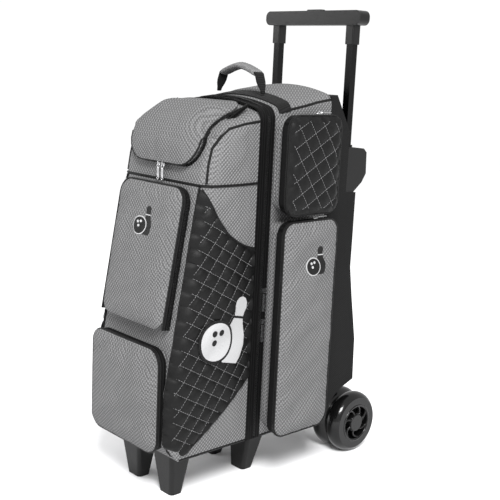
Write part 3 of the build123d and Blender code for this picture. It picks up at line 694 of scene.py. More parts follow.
def inflate(ob, cap, held, pressure=4.0, frames=20):
    """Blow a closed piece up as cloth, with some of its points held."""
    rest = [v.co.copy() for v in ob.data.vertices]
    group = ob.vertex_groups.new(name="held")
    group.add([v.index for v in ob.data.vertices if held(*v.co)], 1.0, "REPLACE")
    only(ob)
    cloth = ob.modifiers.new("cloth", "CLOTH")
    cloth.settings.vertex_group_mass = "held"
    cloth.settings.use_pressure = True
    cloth.settings.uniform_pressure_force = pressure
    cloth.settings.effector_weights.gravity = 0
    cloth.settings.quality = 5
    cloth.settings.shrink_min = -0.012
    cloth.point_cache.frame_end = frames
    for number in range(1, frames + 1):
        bpy.context.scene.frame_set(number)
    bpy.ops.object.modifier_apply(modifier="cloth")
    bpy.context.scene.frame_set(1)
    ob.vertex_groups.clear()
    for v, start in zip(ob.data.vertices, rest):
        step = v.co - start
        if step.length > cap:
            v.co = start + step * (cap / step.length)
    ob.data.update()


def pad(name, half_u, half_v, corner, thick, crown, rim=24 * MM, crease=6.0 * MM, seed=1.0,
        seams=None, cap=4 * MM, square_foot=False):
    """A crowned oblong pad in the local XY plane, with its back at z = 0."""
    bpy.ops.object.select_all(action="DESELECT")
    bpy.ops.mesh.primitive_plane_add(size=2)
    ob = bpy.context.object
    ob.name = name
    bpy.ops.object.mode_set(mode="EDIT")
    bpy.ops.transform.resize(value=(half_u, half_v, 1))
    if square_foot:
        leave()
        for v in ob.data.vertices:
            v.select = v.co.y > 0
        bpy.ops.object.mode_set(mode="EDIT")
    bpy.ops.mesh.bevel(offset=corner, segments=8, affect="VERTICES")
    leave()
    if seams:
        slice_along(ob, *seams)
    else:
        slice_up(ob, 6 * MM, (0, 1))

    def rise(u, v, w):
        edge = min(half_u - abs(u), half_v - abs(v))
        if abs(u) > half_u - corner and abs(v) > half_v - corner and not (square_foot and v < 0):
            edge = corner - hypot(abs(u) - half_u + corner, abs(v) - half_v + corner)
        crowned = 1 - (1 - min(max(edge, 0) / rim, 1)) ** 2
        fold = ruck(u + 0.6 * v, v - 0.6 * u, 0.13, 0.04, seed) + 0.4 * ruck(v, u, 0.07, 0.03, seed + 5)
        return 0, 0, thick + crown * crowned + crease * fold * crowned

    shape(ob, rise)
    modify(ob, "SOLIDIFY", thickness=thick, offset=-1)
    modify(ob, "BEVEL", width=1.2 * MM, segments=2, limit_method="ANGLE", angle_limit=radians(60))

    def held(u, v, w):
        edge = min(half_u - abs(u), half_v - abs(v))
        return edge < 3 * MM or w < thick * 0.5

    inflate(ob, cap, held)
    return ob


def finish_pad(ob, matrix, body, material, slot, node):
    put(ob, matrix)
    smooth(ob, 50)
    sew_in(ob, body, material, slot, node)
    return ob


BELLY_Z, BROW_Z = PROFILE[2][1], PROFILE[3][1]
LEAN = atan2(brow_y - belly_y, BROW_Z - BELLY_Z)
WALL_UP = Vector((0, sin(LEAN), cos(LEAN)))


def leaning(z, proud):
    """A spot on the leaning front wall, some way out of it."""
    spot_y = belly_y + (z - BELLY_Z) * (brow_y - belly_y) / (BROW_Z - BELLY_Z)
    out = Vector((1, 0, 0)).cross(WALL_UP)
    return spot(Vector((0, spot_y, z)) + out * proud, (1, 0, 0), WALL_UP)


SIDE = {"right": 1, "left": -1}
FACE_OUT = 48.5 * MM  # how far a side pocket's face stands from the section's side
FACE_CORNER = {"lower": 24 * MM, "upper": 26 * MM, "front": 28 * MM}
pockets = {}
faces = {}
for side, sign in SIDE.items():
    for level in ("lower", "upper"):
        low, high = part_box(f"{level}_side_panel_{side}")
        middle_y, middle_z = (low[1] + high[1]) / 2 - 5 * MM, (low[2] + high[2]) / 2
        half_u, half_v = (high[1] - low[1]) / 2 + 5 * MM, (high[2] - low[2]) / 2
        place = spot((side_x + FACE_OUT, middle_y, middle_z), (0, 1, 0))
        if sign < 0:
            place = mirrored(place)
        pockets[level, side] = (half_u, half_v, place)
        if level == "lower":
            ob = pad(f"lower_side_face_{side}", half_u, half_v, FACE_CORNER[level], 4 * MM, 5 * MM,
                     seed=2.0 + sign)
            faces[side] = ob
            finish_pad(ob, place, f"lower_side_flap_{side}", pocket_weave, "grey_cloth",
                       f"lower_side_panel_{side}")

upper_u, upper_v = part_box("upper_front_panel")[1][0], 122.5 * MM + 4 * MM
upper_place = leaning(451.5 * MM, 16.5 * MM)
face = pad("upper_front_face", upper_u, upper_v, FACE_CORNER["front"], 4 * MM, 5 * MM, seed=21.0,
           square_foot=True)
faces["front"] = face
finish_pad(face, upper_place, "upper_front_flap", pocket_weave, "grey_cloth", "upper_front_panel")

low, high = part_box("lower_front_panel")
lower_u, lower_v = high[0], (high[2] - low[2]) / 2
lower_place = spot((0, high[1], (low[2] + high[2]) / 2), (1, 0, 0))
face = pad("lower_front_face", lower_u, lower_v, FACE_CORNER["front"], 5 * MM, 9 * MM, 34 * MM,
           8 * MM, 31.0)
finish_pad(face, lower_place, "lower_front_flap", pocket_weave, "grey_cloth", "lower_front_panel")

# %% [markdown]
# ## Quilting
# Quilted cloth is sewn through to its foam along crossing lines, so the foam puffs up between them.
# The height of a puff is a product of two sines, which is zero along every seam. The thread lies in
# the seams as real dashes: each is a short bevelled curve, and all of a panel's dashes are one piece.

# %% The quilting pattern
PANEL_SLANTS = (radians(54), radians(-29))
POCKET_SLANTS = (radians(29), radians(-56))


def puff(a, b, slants, pitch, height):
    """The height of the quilting at a point: zero on every seam of both families."""
    first, second = [(b * cos(slant) - a * sin(slant)) / pitch for slant in slants]
    return height * (abs(sin(pi * first)) * abs(sin(pi * second))) ** 0.55


def within(outline, a, b):
    """Whether a point is inside a closed outline, by counting the edges to its right."""
    hits = 0
    for (a0, b0), (a1, b1) in zip(outline, outline[1:] + outline[:1]):
        if (b0 > b) != (b1 > b) and a < a0 + (b - b0) * (a1 - a0) / (b1 - b0):
            hits += 1
    return hits % 2 == 1


def tube(name, runs, radius, cyclic=False, sides=2):
    """Bevelled curves through runs of points, turned into one mesh."""
    ob = drawn(name, runs, cyclic)
    ob.data.bevel_depth = radius
    ob.data.bevel_resolution = sides
    ob.data.use_fill_caps = not cyclic
    return meshed(ob)


def dashes(outline, slants, pitch, stitch=3.4 * MM, gap=1.8 * MM, margin=5 * MM):
    """Both ends of every stitch that lies inside an outline, in its own plane."""
    span = max(max(abs(a), abs(b)) for a, b in outline) * 1.5
    count, step = ceil(span / pitch), stitch + gap
    found = []
    for angle in slants:
        run, across = Vector((cos(angle), sin(angle))), Vector((-sin(angle), cos(angle)))
        for k in range(-count, count + 1):
            for n in range(int(-span / step), int(span / step)):
                start = across * (k * pitch) + run * (n * step)
                end = start + run * stitch
                clear = [(point[0] + margin * da, point[1] + margin * db) for point in (start, end)
                         for da, db in ((1, 0), (-1, 0), (0, 1), (0, -1))]
                if all(within(outline, *point) for point in clear):
                    found.append((tuple(start), tuple(end)))
    return found


def filled(name, outline):
    """A flat mesh in the local XY plane that fills an outline."""
    ob = drawn(name, [outline], True, "2D")
    ob.data.fill_mode = "BOTH"
    return meshed(ob)


# %% [markdown]
# ## The quilted side panels
# On each side of the front section a black quilted panel runs from a point below the shoe
# compartment down to the zip and the foot. Its outline is drawn flat, filled, sliced finely and then
# bent on to the section's surface, round the corner as far as the piping.

# %% Side panels of the front section
QUILT = 24 * MM
PUFF = 4.2 * MM
CUTS = 6  # slices between two seams
THREAD = 0.42 * MM
zip_edge = zip_y - 18 * MM
POINT = (front_wall(0.578) + 2 * MM, 0.578)
NECK = (zip_edge, 0.466)
FOOT = (zip_edge, 0.224)


def bow(start, pull, end, count=14):
    """A curved edge from start to end that is pulled towards a third point."""
    points = []
    for k in range(count + 1):
        t = k / count
        points.append(tuple((1 - t) ** 2 * s + 2 * t * (1 - t) * p + t * t * e
                            for s, p, e in zip(start, pull, end)))
    return points


shoulder = bow(POINT, (-0.165, 0.480), NECK)
hem = bow(FOOT, (-0.165, 0.150), (-0.240, 0.100), 8)
front_edge = [(front_wall(z) + 1.0 * MM, z)
              for z in (0.103, 0.113, 0.124, 0.160, 0.219, 0.30, 0.38, 0.46, 0.53)]
side_outline = shoulder + hem + front_edge
for side, sign in SIDE.items():
    panel = filled(f"side_quilt_{side}", side_outline)
    slice_along(panel, PANEL_SLANTS, QUILT / CUTS)

    def bent(y, z, w):
        lift = 1.2 * MM + puff(y, z, PANEL_SLANTS, QUILT, PUFF)
        turned = min(max(front_wall(z) + CORNER - y, 0) / CORNER, 1)
        return (sign * (corner_x(y, z) + lift * (1 - turned**2) ** 0.5),
                y - (lift + 1.6 * MM) * turned**2, z)

    put(panel, bent)
    face_out(panel)
    if (panel.data.polygons[0].normal.x > 0) != (sign > 0):
        panel.data.flip_normals()
    smooth(panel, 60)
    sew_in(panel, "front_section", quilt_satin, "black_cloth")
    runs = [[(sign * (corner_x(y, z) + 1.6 * MM), y, z) for y, z in ends]
            for ends in dashes(side_outline, PANEL_SLANTS, QUILT)]
    stitches = tube(f"side_quilt_stitches_{side}", runs, THREAD, sides=0)
    sew_in(stitches, "front_section", stitch_thread, "grey_cloth")

# %% [markdown]
# ## The quilted accessory pockets
# The upper side pockets have quilted faces too. The same pattern is laid over a crowned pad.

# %% Quilted pads
QUILT_SMALL = 27 * MM
TURN = 6  # steps round one corner of an outline
RAY_START = 60 * MM


def round_corner(half_u, half_v, corner, count=TURN):
    """A rounded oblong, counter-clockwise from the right-hand side's foot."""
    outline = []
    for turn, (cu, cv) in enumerate(((1, -1), (1, 1), (-1, 1), (-1, -1))):
        start = pi * (turn - 1) / 2
        for k in range(count + 1):
            angle = start + k / count * pi / 2
            outline.append((cu * (half_u - corner) + corner * cos(angle),
                            cv * (half_v - corner) + corner * sin(angle)))
    return outline


for side, sign in SIDE.items():
    half_u, half_v, place = pockets["upper", side]
    ob = pad(f"upper_side_face_{side}", half_u, half_v, FACE_CORNER["upper"], 4 * MM, 3 * MM, 16 * MM,
             0.2 * MM, seams=(POCKET_SLANTS, QUILT_SMALL / CUTS), cap=2 * MM)

    def quilted(u, v, w):
        edge = min(half_u - abs(u), half_v - abs(v))
        raised = puff(u, v, POCKET_SLANTS, QUILT_SMALL, PUFF) * ease(edge / (8 * MM))
        return 0, 0, raised if w > 3 * MM else 0

    shape(ob, quilted)
    finish_pad(ob, place, f"upper_side_flap_{side}", quilt_satin, "black_cloth",
               f"upper_side_panel_{side}")
    outline = round_corner(half_u - 5 * MM, half_v - 5 * MM, 22 * MM)
    inward = place.to_3x3() @ Vector((0, 0, -1))
    runs = [[touch(ob, place @ Vector((u, v, RAY_START)), inward, 0.2 * MM) for u, v in ends]
            for ends in dashes(outline, POCKET_SLANTS, QUILT_SMALL)]
    stitches = tube(f"upper_side_stitches_{side}", runs, THREAD, sides=0)
    sew_in(stitches, f"upper_side_flap_{side}", stitch_thread, "grey_cloth")

# %% [markdown]
# ## Piping
# Piping stiffens a bag's corners: a thin cord inside a strip of black cloth. A bevelled curve makes
# the cord. Its points come from the same surface functions as the cloth, or from rays cast on the
# finished cloth, so it lies in the seams. A ray that misses the cloth gives no point.

# %% Piping on the sections
PIPE = 2.3 * MM


def piping(name, body, runs, radius=PIPE, cyclic=False):
    ob = tube(name, runs, radius, cyclic)
    smooth(ob, 80)
    return sew_in(ob, body, piping_cloth, "zip_tape")


def heights(low, high, step=20 * MM):
    count = ceil((high - low) / step)
    return [low + k * (high - low) / count for k in range(count + 1)]


def round_turn(x, other, inward, last=3):
    """Points round a corner of the section, from its side at x to its other face."""
    angles = [k * pi / 8 for k in range(1, last + 1)]
    return [(x - CORNER * (1 - cos(a)), other + inward * CORNER * (1 - sin(a))) for a in angles]


def ray_piping(name, body, cloth, line, stray):
    """Piping over both sides along a line of (y, z), without points that missed the cloth."""
    runs = []
    for sign in SIDE.values():
        points = [touch(cloth, (sign * 0.2, y, z), (-sign, 0, 0), 0.6 * MM) for y, z in line]
        runs.append([point for point in points if abs(point.x) < side_x + stray])
    piping(name, body, runs)


def hem_piping(name, body, start, end):
    """A straight cord along the foot of both sides, from one y to another."""
    x, z = side_x - 1 * MM, 96.5 * MM
    piping(name, body, [[(sign * x, start, z), (sign * x, end, z)] for sign in SIDE.values()])


SHELF = 0.584
runs = [[touch(front_cloth, (sign * (side_x - 15.5 * MM), -0.4, z), (0, 1, 0), 1.4 * MM)
         for z in heights(0.126, 0.582, 8 * MM)] for sign in SIDE.values()]
piping("front_corner_piping", "front_section", runs)

runs = [[(sign * (corner_x(y, z) + 1.5 * MM), y, z) for y, z in edge]
        for sign in SIDE.values() for edge in (shoulder, hem)]
piping("side_quilt_piping", "front_section", runs, 1.9 * MM)

corner_y = front_wall(SHELF) + CORNER
half = [(side_x, zip_edge + k / 8 * (corner_y - zip_edge)) for k in range(9)]
half += round_turn(side_x, front_wall(SHELF), 1, 4)
loop = half + [(-x, y) for x, y in reversed(half)]
piping("shelf_piping", "front_section",
       [[((abs(x) + side_swell(y, SHELF) + 0.8 * MM) * outward(x), y - 0.8 * MM, SHELF)
         for x, y in loop]])

crest = [(-0.197, 0.588), (-0.193, 0.620), (-0.186, 0.648), (-0.174, 0.669), (-0.156, 0.682),
         (-0.118, 0.690), (zip_edge, 0.694)]
ray_piping("crest_piping", "front_section", front_cloth, crest, 10 * MM)

rear_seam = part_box("rear_shell")[1][1]
shoulder_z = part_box("back_shell")[1][2] - 18 * MM
rear_arch = [(side_x, 0.10), (side_x, shoulder_z - CORNER)] + round_turn(side_x, shoulder_z, -1)
rear_arch += [(side_x - CORNER, shoulder_z + 4.5 * MM), (0.05, shoulder_z + 15 * MM),
              (0, shoulder_z + 18 * MM)]
loop = rear_arch + [(-x, z) for x, z in reversed(rear_arch[:-1])]
piping("rear_seam_piping", "chassis", [[(x, rear_seam + 0.5 * MM, z) for x, z in loop]])

ledge = [(-30 * MM, 709 * MM), (-10 * MM, 714 * MM), (30 * MM, 721 * MM), (65 * MM, 728 * MM),
         (rear_seam - 2 * MM, 733 * MM)]
ray_piping("roof_side_piping", "chassis", rear_cloth, ledge, 5 * MM)
hem_piping("rear_hem_piping", "chassis", zip_y + 20 * MM, rear_seam)
hem_piping("front_hem_piping", "front_section", zip_edge, PROFILE[0][0] + 2 * MM)

# %% [markdown]
# ## Zips
# A nylon zip is two tapes and a coil. The tape stands on edge round a pocket, so it is a flat curve
# extruded sideways and given a thickness. The teeth are one small bevelled block, repeated along the
# zip by an Array and laid on the line by a Curve modifier.

# %% Zip parts


def ribbon(name, line, width, thickness, closed):
    """A strip on edge along a line in the local XY plane, centred on the plane."""
    ob = drawn(name, [line], closed, "2D")
    ob.data.fill_mode = "NONE"
    ob.data.extrude = width / 2
    ob = meshed(ob)
    slice_up(ob, width / 3, (2,))
    modify(ob, "SOLIDIFY", thickness=thickness, offset=0)
    modify(ob, "BEVEL", width=0.4 * MM, segments=1, limit_method="ANGLE", angle_limit=radians(50))
    return ob


def length_of(line, closed):
    ends = line[1:] + line[:1] if closed else line[1:]
    return sum(hypot(b[0] - a[0], b[1] - a[1]) for a, b in zip(line, ends))


def teeth(name, line, closed, out, pitch=2.6 * MM):
    """A zip's coil along a line in the local XY plane: out is how far it stands from the line."""
    rail = drawn(name + "_path", [line], closed, "2D")
    ob = block(name, (pitch * 0.62, 1.8 * MM, 5.4 * MM), (pitch / 2, out, 0), 0.3 * MM, 1)
    modify(ob, "ARRAY", fit_type="FIT_LENGTH", fit_length=length_of(line, closed) - pitch,
           use_relative_offset=False, use_constant_offset=True,
           constant_offset_displace=(pitch, 0, 0))
    modify(ob, "CURVE", object=rail, deform_axis="POS_X")
    bpy.data.objects.remove(rail)
    return ob


def slider(name, matrix, body, *replaced):
    """A slider's saddle with its bridge, and a pull with an eye at its end, hanging along -Y."""
    saddle = block(name, (8 * MM, 11 * MM, 3.4 * MM), (0, 0, 0), 1.2 * MM, 2)
    bridge = tube("bridge", [[(0, -3.5 * MM, 1.4 * MM), (0, -2 * MM, 4 * MM), (0, 2 * MM, 4 * MM),
                              (0, 3.5 * MM, 1.4 * MM)]], 0.9 * MM)
    bpy.ops.mesh.primitive_torus_add(location=(0, -5.5 * MM, 2.6 * MM), major_radius=3.2 * MM,
                                     minor_radius=0.8 * MM, major_segments=20, minor_segments=8)
    ring = bpy.context.object
    tab = block("tab", (6.4 * MM, 18 * MM, 1.6 * MM), (0, -17 * MM, 2.4 * MM), 0.6 * MM, 2)
    bpy.ops.mesh.primitive_torus_add(location=(0, -27 * MM, 2.4 * MM), major_radius=2.6 * MM,
                                     minor_radius=0.9 * MM, major_segments=20, minor_segments=8)
    eye = bpy.context.object
    bpy.ops.object.select_all(action="DESELECT")
    for part in (bridge, ring, tab, eye, saddle):
        part.select_set(True)
    bpy.context.view_layer.objects.active = saddle
    bpy.ops.object.join()
    put(saddle, saddle.matrix_world.copy())
    saddle.matrix_world = Matrix.Identity(4)
    put(saddle, matrix)
    smooth(saddle, 40)
    return sew_in(saddle, body, nickel, "nickel", *replaced)


# %% [markdown]
# ## The main zip
# The zip that parts the two sections runs up one side, over the roof and down the other. Its two
# tapes are CAD parts that meet at the zip's plane. The teeth ride with the rear section.

# %% Teeth of the main zip
roof_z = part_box("rear_zip_tape")[1][2] - 18 * MM
zip_x = side_x + 2.2 * MM
half = [(zip_x, 0.10), (zip_x, roof_z - CORNER)] + round_turn(zip_x, roof_z, -1)
half += [(side_x - CORNER, roof_z + 4 * MM), (0.065, roof_z + 12 * MM), (0.03, roof_z + 17 * MM)]
main_line = half + [(0, roof_z + 18 * MM)] + [(-x, z) for x, z in reversed(half)]
ob = teeth("main_zip_teeth", main_line, False, 0.2 * MM)
put(ob, spot((0, zip_y + 3.2 * MM, 0), (1, 0, 0)))
sew_in(ob, "chassis", coil_nylon, "zip_tape")

# %% [markdown]
# ## Pocket zips
# Each pocket's zip runs round the edge of its face. Its tape, coil and sliders stay on the pocket's
# wall when the pocket opens, and the piping turns with the face.

# %% Tapes, teeth, piping and sliders of the pockets


FRONT_TAPE = 13 * MM
ZIP_DROP = 6.5 * MM


def pocket_zip(name, half_u, half_v, corner, place, flap, wall_body, depth=15 * MM, drop=ZIP_DROP,
               front=4.2 * MM, hood=False, square_foot=False):
    """Dress a pocket: the zip's tape behind its face, the coil, and piping round the face."""
    def around(inset):
        """The pocket's edge; when the foot is sewn down, only up one side and down the other."""
        edge = round_corner(half_u - inset, half_v - inset, corner)
        if square_foot:
            foot = 3 * MM - half_v
            upper = edge[TURN + 1:3 * (TURN + 1)]
            edge = [(half_u - inset, foot)] + upper + [(inset - half_u, foot)]
        return edge

    outline = around(1.5 * MM)
    closed = not square_foot
    behind = Matrix.Translation((0, 0, -depth / 2))
    band = ribbon(f"{name}_zip_tape", outline, depth, 1.6 * MM, closed)
    put(band, behind)
    put(band, place)
    sew_in(band, wall_body, zip_cloth, "zip_tape")
    coil = teeth(f"{name}_zip_teeth", outline, closed, -1.2 * MM)
    put(coil, Matrix.Translation((0, 0, -drop)))
    put(coil, place)
    sew_in(coil, wall_body, coil_nylon, "zip_tape")
    rim = around(0.5 * MM)
    for part, out in (("front", front), ("back", 0.4 * MM - (depth if hood else 0))):
        edge = tube(f"{name}_{part}_piping", [[(u, v, out) for u, v in rim]], 1.7 * MM, closed)
        put(edge, place)
        smooth(edge, 80)
        sew_in(edge, flap, piping_cloth, "zip_tape")


for side, sign in SIDE.items():
    for level in ("lower", "upper"):
        half_u, half_v, place = pockets[level, side]
        pocket_zip(f"{level}_side_{side}", half_u, half_v, FACE_CORNER[level], place,
                   f"{level}_side_flap_{side}", "chassis")
        top = place @ Matrix.Translation((half_u * 0.25, half_v + 1.5 * MM, -ZIP_DROP))
        slider(f"{level}_side_slider_{side}",
               top @ Matrix.Rotation(radians(-90), 4, "X") @ Matrix.Rotation(radians(90), 4, "Z"),
               "chassis")
pocket_zip("upper_front", upper_u, upper_v, FACE_CORNER["front"], upper_place, "upper_front_flap",
           "front_section", FRONT_TAPE, square_foot=True)
pocket_zip("lower_front", lower_u, lower_v, FACE_CORNER["front"], lower_place, "lower_front_flap",
           "front_section", FRONT_TAPE)

# %% [markdown]
# ## The shoe compartment's hood
# The hood covers the top front corner. It is a pad like the pockets', and is then bent: every point
# of the flat pad is laid along the brow's line, as far out of the cloth as it is thick.

# %% Hood, zip band and coil
hood_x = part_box("shoe_flap")[1][0] + 3 * MM
HOOD_THICK = 12 * MM
HOOD_CORNER = 48 * MM
HEM_Z, HINGE_Y = 0.610, -0.090
SMOOTHINGS = 10


def brow_curve(count=24):
    """Evenly smoothed points up the brow from the hood's hem to its hinge."""
    points = []
    for (y0, z0), (y1, z1) in zip(BROW_FACETS, BROW_FACETS[1:]):
        for k in range(count):
            y, z = y0 + (y1 - y0) * k / count, z0 + (z1 - z0) * k / count
            step_y, step_z = dome(y, z)
            points.append((y + step_y, z + step_z))
    points = [point for point in points if point[1] > HEM_Z and point[0] < HINGE_Y]
    for _ in range(SMOOTHINGS):
        middle = [((a[0] + b[0] + c[0]) / 3, (a[1] + b[1] + c[1]) / 3)
                  for a, b, c in zip(points, points[1:], points[2:])]
        points = points[:1] + middle + points[-1:]
    return points


BROW = brow_curve()
BROW_RUN = [0.0]
for (y0, z0), (y1, z1) in zip(BROW, BROW[1:]):
    BROW_RUN.append(BROW_RUN[-1] + hypot(y1 - y0, z1 - z0))
half_hood = BROW_RUN[-1] / 2


def over_brow(u, v, w):
    """Lay a point of the flat hood on the brow: v runs down the brow and w stands out of it."""
    run = min(max(half_hood - v, 0.0), BROW_RUN[-1] - 1e-6)
    k = max(n for n, start in enumerate(BROW_RUN) if start <= run)
    (y0, z0), (y1, z1) = BROW[k], BROW[k + 1]
    t = (run - BROW_RUN[k]) / (BROW_RUN[k + 1] - BROW_RUN[k])
    before, after = BROW[max(k - 2, 0)], BROW[min(k + 3, len(BROW) - 1)]
    run_y, run_z = after[0] - before[0], after[1] - before[1]
    span = hypot(run_y, run_z)
    up = run / half_hood - 1
    w -= 6 * MM * ease((abs(u) - 60 * MM) / (36 * MM)) * ease(up + 0.4)
    w *= 1 - 0.6 * ease((up - 0.2) / 0.8)
    return -u, y0 + (y1 - y0) * t - w * run_z / span, z0 + (z1 - z0) * t + w * run_y / span


hood = pad("hood", hood_x, half_hood, HOOD_CORNER, HOOD_THICK, 7 * MM, 50 * MM, 5 * MM, 41.0,
           square_foot=True)
put(hood, over_brow)
smooth(hood, 50)
sew_in(hood, "shoe_flap", pocket_weave, "grey_cloth", "shoe_flap")


def hood_edge(u, v, w):
    return over_brow(u, v, w + HOOD_THICK)


pocket_zip("hood", hood_x, half_hood, HOOD_CORNER, hood_edge, "shoe_flap", "shoe_flap",
           HOOD_THICK + 1 * MM, 6 * MM, 0.2 * MM, True, True)
hood_slide = spot(Vector(over_brow(-3 * MM, half_hood, 7 * MM)) + Vector((0, -3 * MM, 0)), (1, 0, 0))
slider("shoe_slider_left", hood_slide @ Matrix.Translation((-6 * MM, 0, 0)), "shoe_pulls",
       "shoe_zip_pulls")
slider("shoe_slider_right", hood_slide @ Matrix.Translation((6 * MM, 0, 0)), "shoe_pulls")

# %% [markdown]
# ## The carry handle
# A webbing strap rises from the band on the roof to a padded grip that is wrapped in grey cloth. The
# strap is a ribbon along the same arch as the CAD one. The grip is a flattened cylinder drawn along
# the arch, and the wrap's turns are a slanting wave down its length.

# %% Strap and wrapped grip
strap_low, strap_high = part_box("carry_strap")
half_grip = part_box("carry_grip")[1][0] + 12 * MM
arch_x = strap_high[0] - 1.8 * MM
arch_bend = arch_x - 13 * MM
arch_top = strap_high[2] - 2 * MM
middle_y = (strap_low[1] + strap_high[1]) / 2


def arch(x):
    """The strap's height over the middle of the bag."""
    if abs(x) > arch_bend:
        t = (arch_x - abs(x)) / (arch_x - arch_bend)
        return strap_low[2] + 1 * MM + t * (arch_top - 16 * MM - strap_low[2])
    return arch_top - 15 * MM * abs(x / arch_bend) ** 1.5


STEPS = 48
WRAP_PITCH = 5 * MM
xs = [-arch_x + k * 2 * arch_x / STEPS for k in range(STEPS + 1)]
strap = ribbon("carry_strap_webbing", [(x, arch(x)) for x in xs], 22 * MM, 3 * MM, False)
put(strap, spot((0, middle_y, 0), (1, 0, 0)))


def neck(x, y, z):
    t = ease((strap_low[2] + 0.022 - z) / 0.02)
    return 0, (middle_y - y) * 0.62 * t, 0


shape(strap, neck)
smooth(strap, 50)
sew_in(strap, "carry_handle", strap_webbing, "black_webbing", "carry_strap")

bpy.ops.object.select_all(action="DESELECT")
bpy.ops.mesh.primitive_cylinder_add(vertices=32, radius=1, depth=2)
grip = bpy.context.object
grip.name = "carry_grip_wrap"
bpy.ops.object.mode_set(mode="EDIT")
bpy.ops.mesh.select_all(action="SELECT")
bpy.ops.transform.rotate(value=pi / 2, orient_axis="Y", center_override=(0, 0, 0))
bpy.ops.transform.resize(value=(half_grip, 14 * MM, 6 * MM))
bpy.ops.mesh.bevel(offset=2.5 * MM, segments=3)
leave()
slice_up(grip, 1.6 * MM, (0,))


def wrapped(x, y, z):
    turns = 0.8 * MM * sin(2 * pi * (x + 0.35 * y) / WRAP_PITCH)
    turns *= ease((half_grip - abs(x)) / WRAP_PITCH)
    reach = max(hypot(y, z), 1 * MM)
    return 0, turns * y / reach, turns * z / reach + arch(x) - arch_top


shape(grip, wrapped)
put(grip, Matrix.Translation((0, middle_y, arch_top - 1.5 * MM)))
smooth(grip, 60)
sew_in(grip, "carry_handle", wrap_cloth, "grip_wrap", "carry_grip")

# %% [markdown]
# ## Embroidery
# The big pockets and quilted panels carry a plain badge of a ball and a pin. Satin stitch is a low
# raised field of thread, so each part of the drawing is a filled outline, laid on the cloth and
# given a little thickness. Parts nearer the viewer stand a little further out.

# %% Ball and pin badges


def ring(cu, cv, radius, count=28):
    return [(cu + radius * cos(2 * pi * k / count), cv + radius * sin(2 * pi * k / count))
            for k in range(count)]


PIN_HALF = ((0.15, 0.0), (0.20, 0.10), (0.235, 0.30), (0.21, 0.45), (0.13, 0.62), (0.095, 0.72),
            (0.105, 0.80), (0.13, 0.88), (0.12, 0.96), (0.07, 1.02), (0.0, 1.04))


def pin(cu, cv, size):
    right = [(cu + size * u, cv + size * v) for u, v in PIN_HALF]
    return right + [(2 * cu - u, v) for u, v in reversed(right[:-1])]


def band_round(cu, cv, half, low, high):
    return [(cu - half, cv + low), (cu + half, cv + low), (cu + half, cv + high),
            (cu - half, cv + high)]


def badge(name, size, lay, body, ground, mark, slots):
    """A filled ball with finger holes before a filled pin: lay puts a flat point on the cloth."""
    shapes = [("pin", pin(0.2 * size, -0.5 * size, size), mark, 0.8 * MM),
              ("collar", band_round(0.2 * size, -0.5 * size, 0.115 * size, 0.70 * size, 0.735 * size),
               ground, 1.2 * MM),
              ("rim", ring(-0.16 * size, -0.2 * size, 0.34 * size), ground, 1.3 * MM),
              ("ball", ring(-0.16 * size, -0.2 * size, 0.30 * size), mark, 1.9 * MM)]
    for k, (u, v) in enumerate(((-0.25, -0.08), (-0.11, -0.05), (-0.20, -0.22))):
        shapes.append((f"hole_{k}", ring(u * size, v * size, 0.05 * size, 12), ground, 2.4 * MM))
    for part, outline, finish, lift in shapes:
        ob = filled(f"{name}_{part}", outline)
        slice_up(ob, 5 * MM, (0, 1))
        modify(ob, "SOLIDIFY", thickness=1.6 * MM, offset=-1)
        put(ob, lambda u, v, w: lay(u, v, lift + w))
        face_out(ob)
        smooth(ob, 50)
        sew_in(ob, body, finish, slots[0] if finish == ground else slots[1])


def on_pad(face, place, u0, v0):
    """How a flat badge point is laid on a padded face."""
    inward = place.to_3x3() @ Vector((0, 0, -1))

    def lay(u, v, lift):
        return touch(face, place @ Vector((u + u0, v + v0, RAY_START)), inward, lift)
    return lay


def on_side(sign, y0, z0, tilt):
    """How a flat badge point is laid on the section's padded side."""
    turn = Matrix.Rotation(tilt, 4, "Z")

    def lay(u, v, lift):
        moved = turn @ Vector((u, v, 0))
        y, z = y0 + moved.x, z0 + moved.y
        return sign * (corner_x(y, z) + 5.2 * MM + lift), y, z
    return lay


SMALL_BADGE, BIG_BADGE = 50 * MM, 118 * MM
DARK_ON_GREY = (silver_thread, black_thread, ("grey_cloth", "black_cloth"))
LIGHT_ON_DARK = (black_thread, silver_thread, ("black_cloth", "grey_cloth"))
for side, sign in SIDE.items():
    half_u, half_v, place = pockets["lower", side]
    lay = on_pad(faces[side], place, 10 * MM, half_v - 75 * MM)
    badge(f"side_badge_{side}", SMALL_BADGE, lay, f"lower_side_flap_{side}", *DARK_ON_GREY)
    badge(f"panel_badge_{side}", BIG_BADGE, on_side(sign, -0.150, 0.325, radians(-14)),
          "front_section", *LIGHT_ON_DARK)
lay = on_pad(faces["front"], upper_place, 0, upper_v - 70 * MM)
badge("front_badge", SMALL_BADGE, lay, "upper_front_flap", *DARK_ON_GREY)

# %% [markdown]
# ## Wheel spokes
# Each wheel's core is a dished disc with curved spokes. Every spoke is a bevelled curve that bows as
# it leaves the hub. The seven and the ring at their ends are one piece, which turns with the wheel.

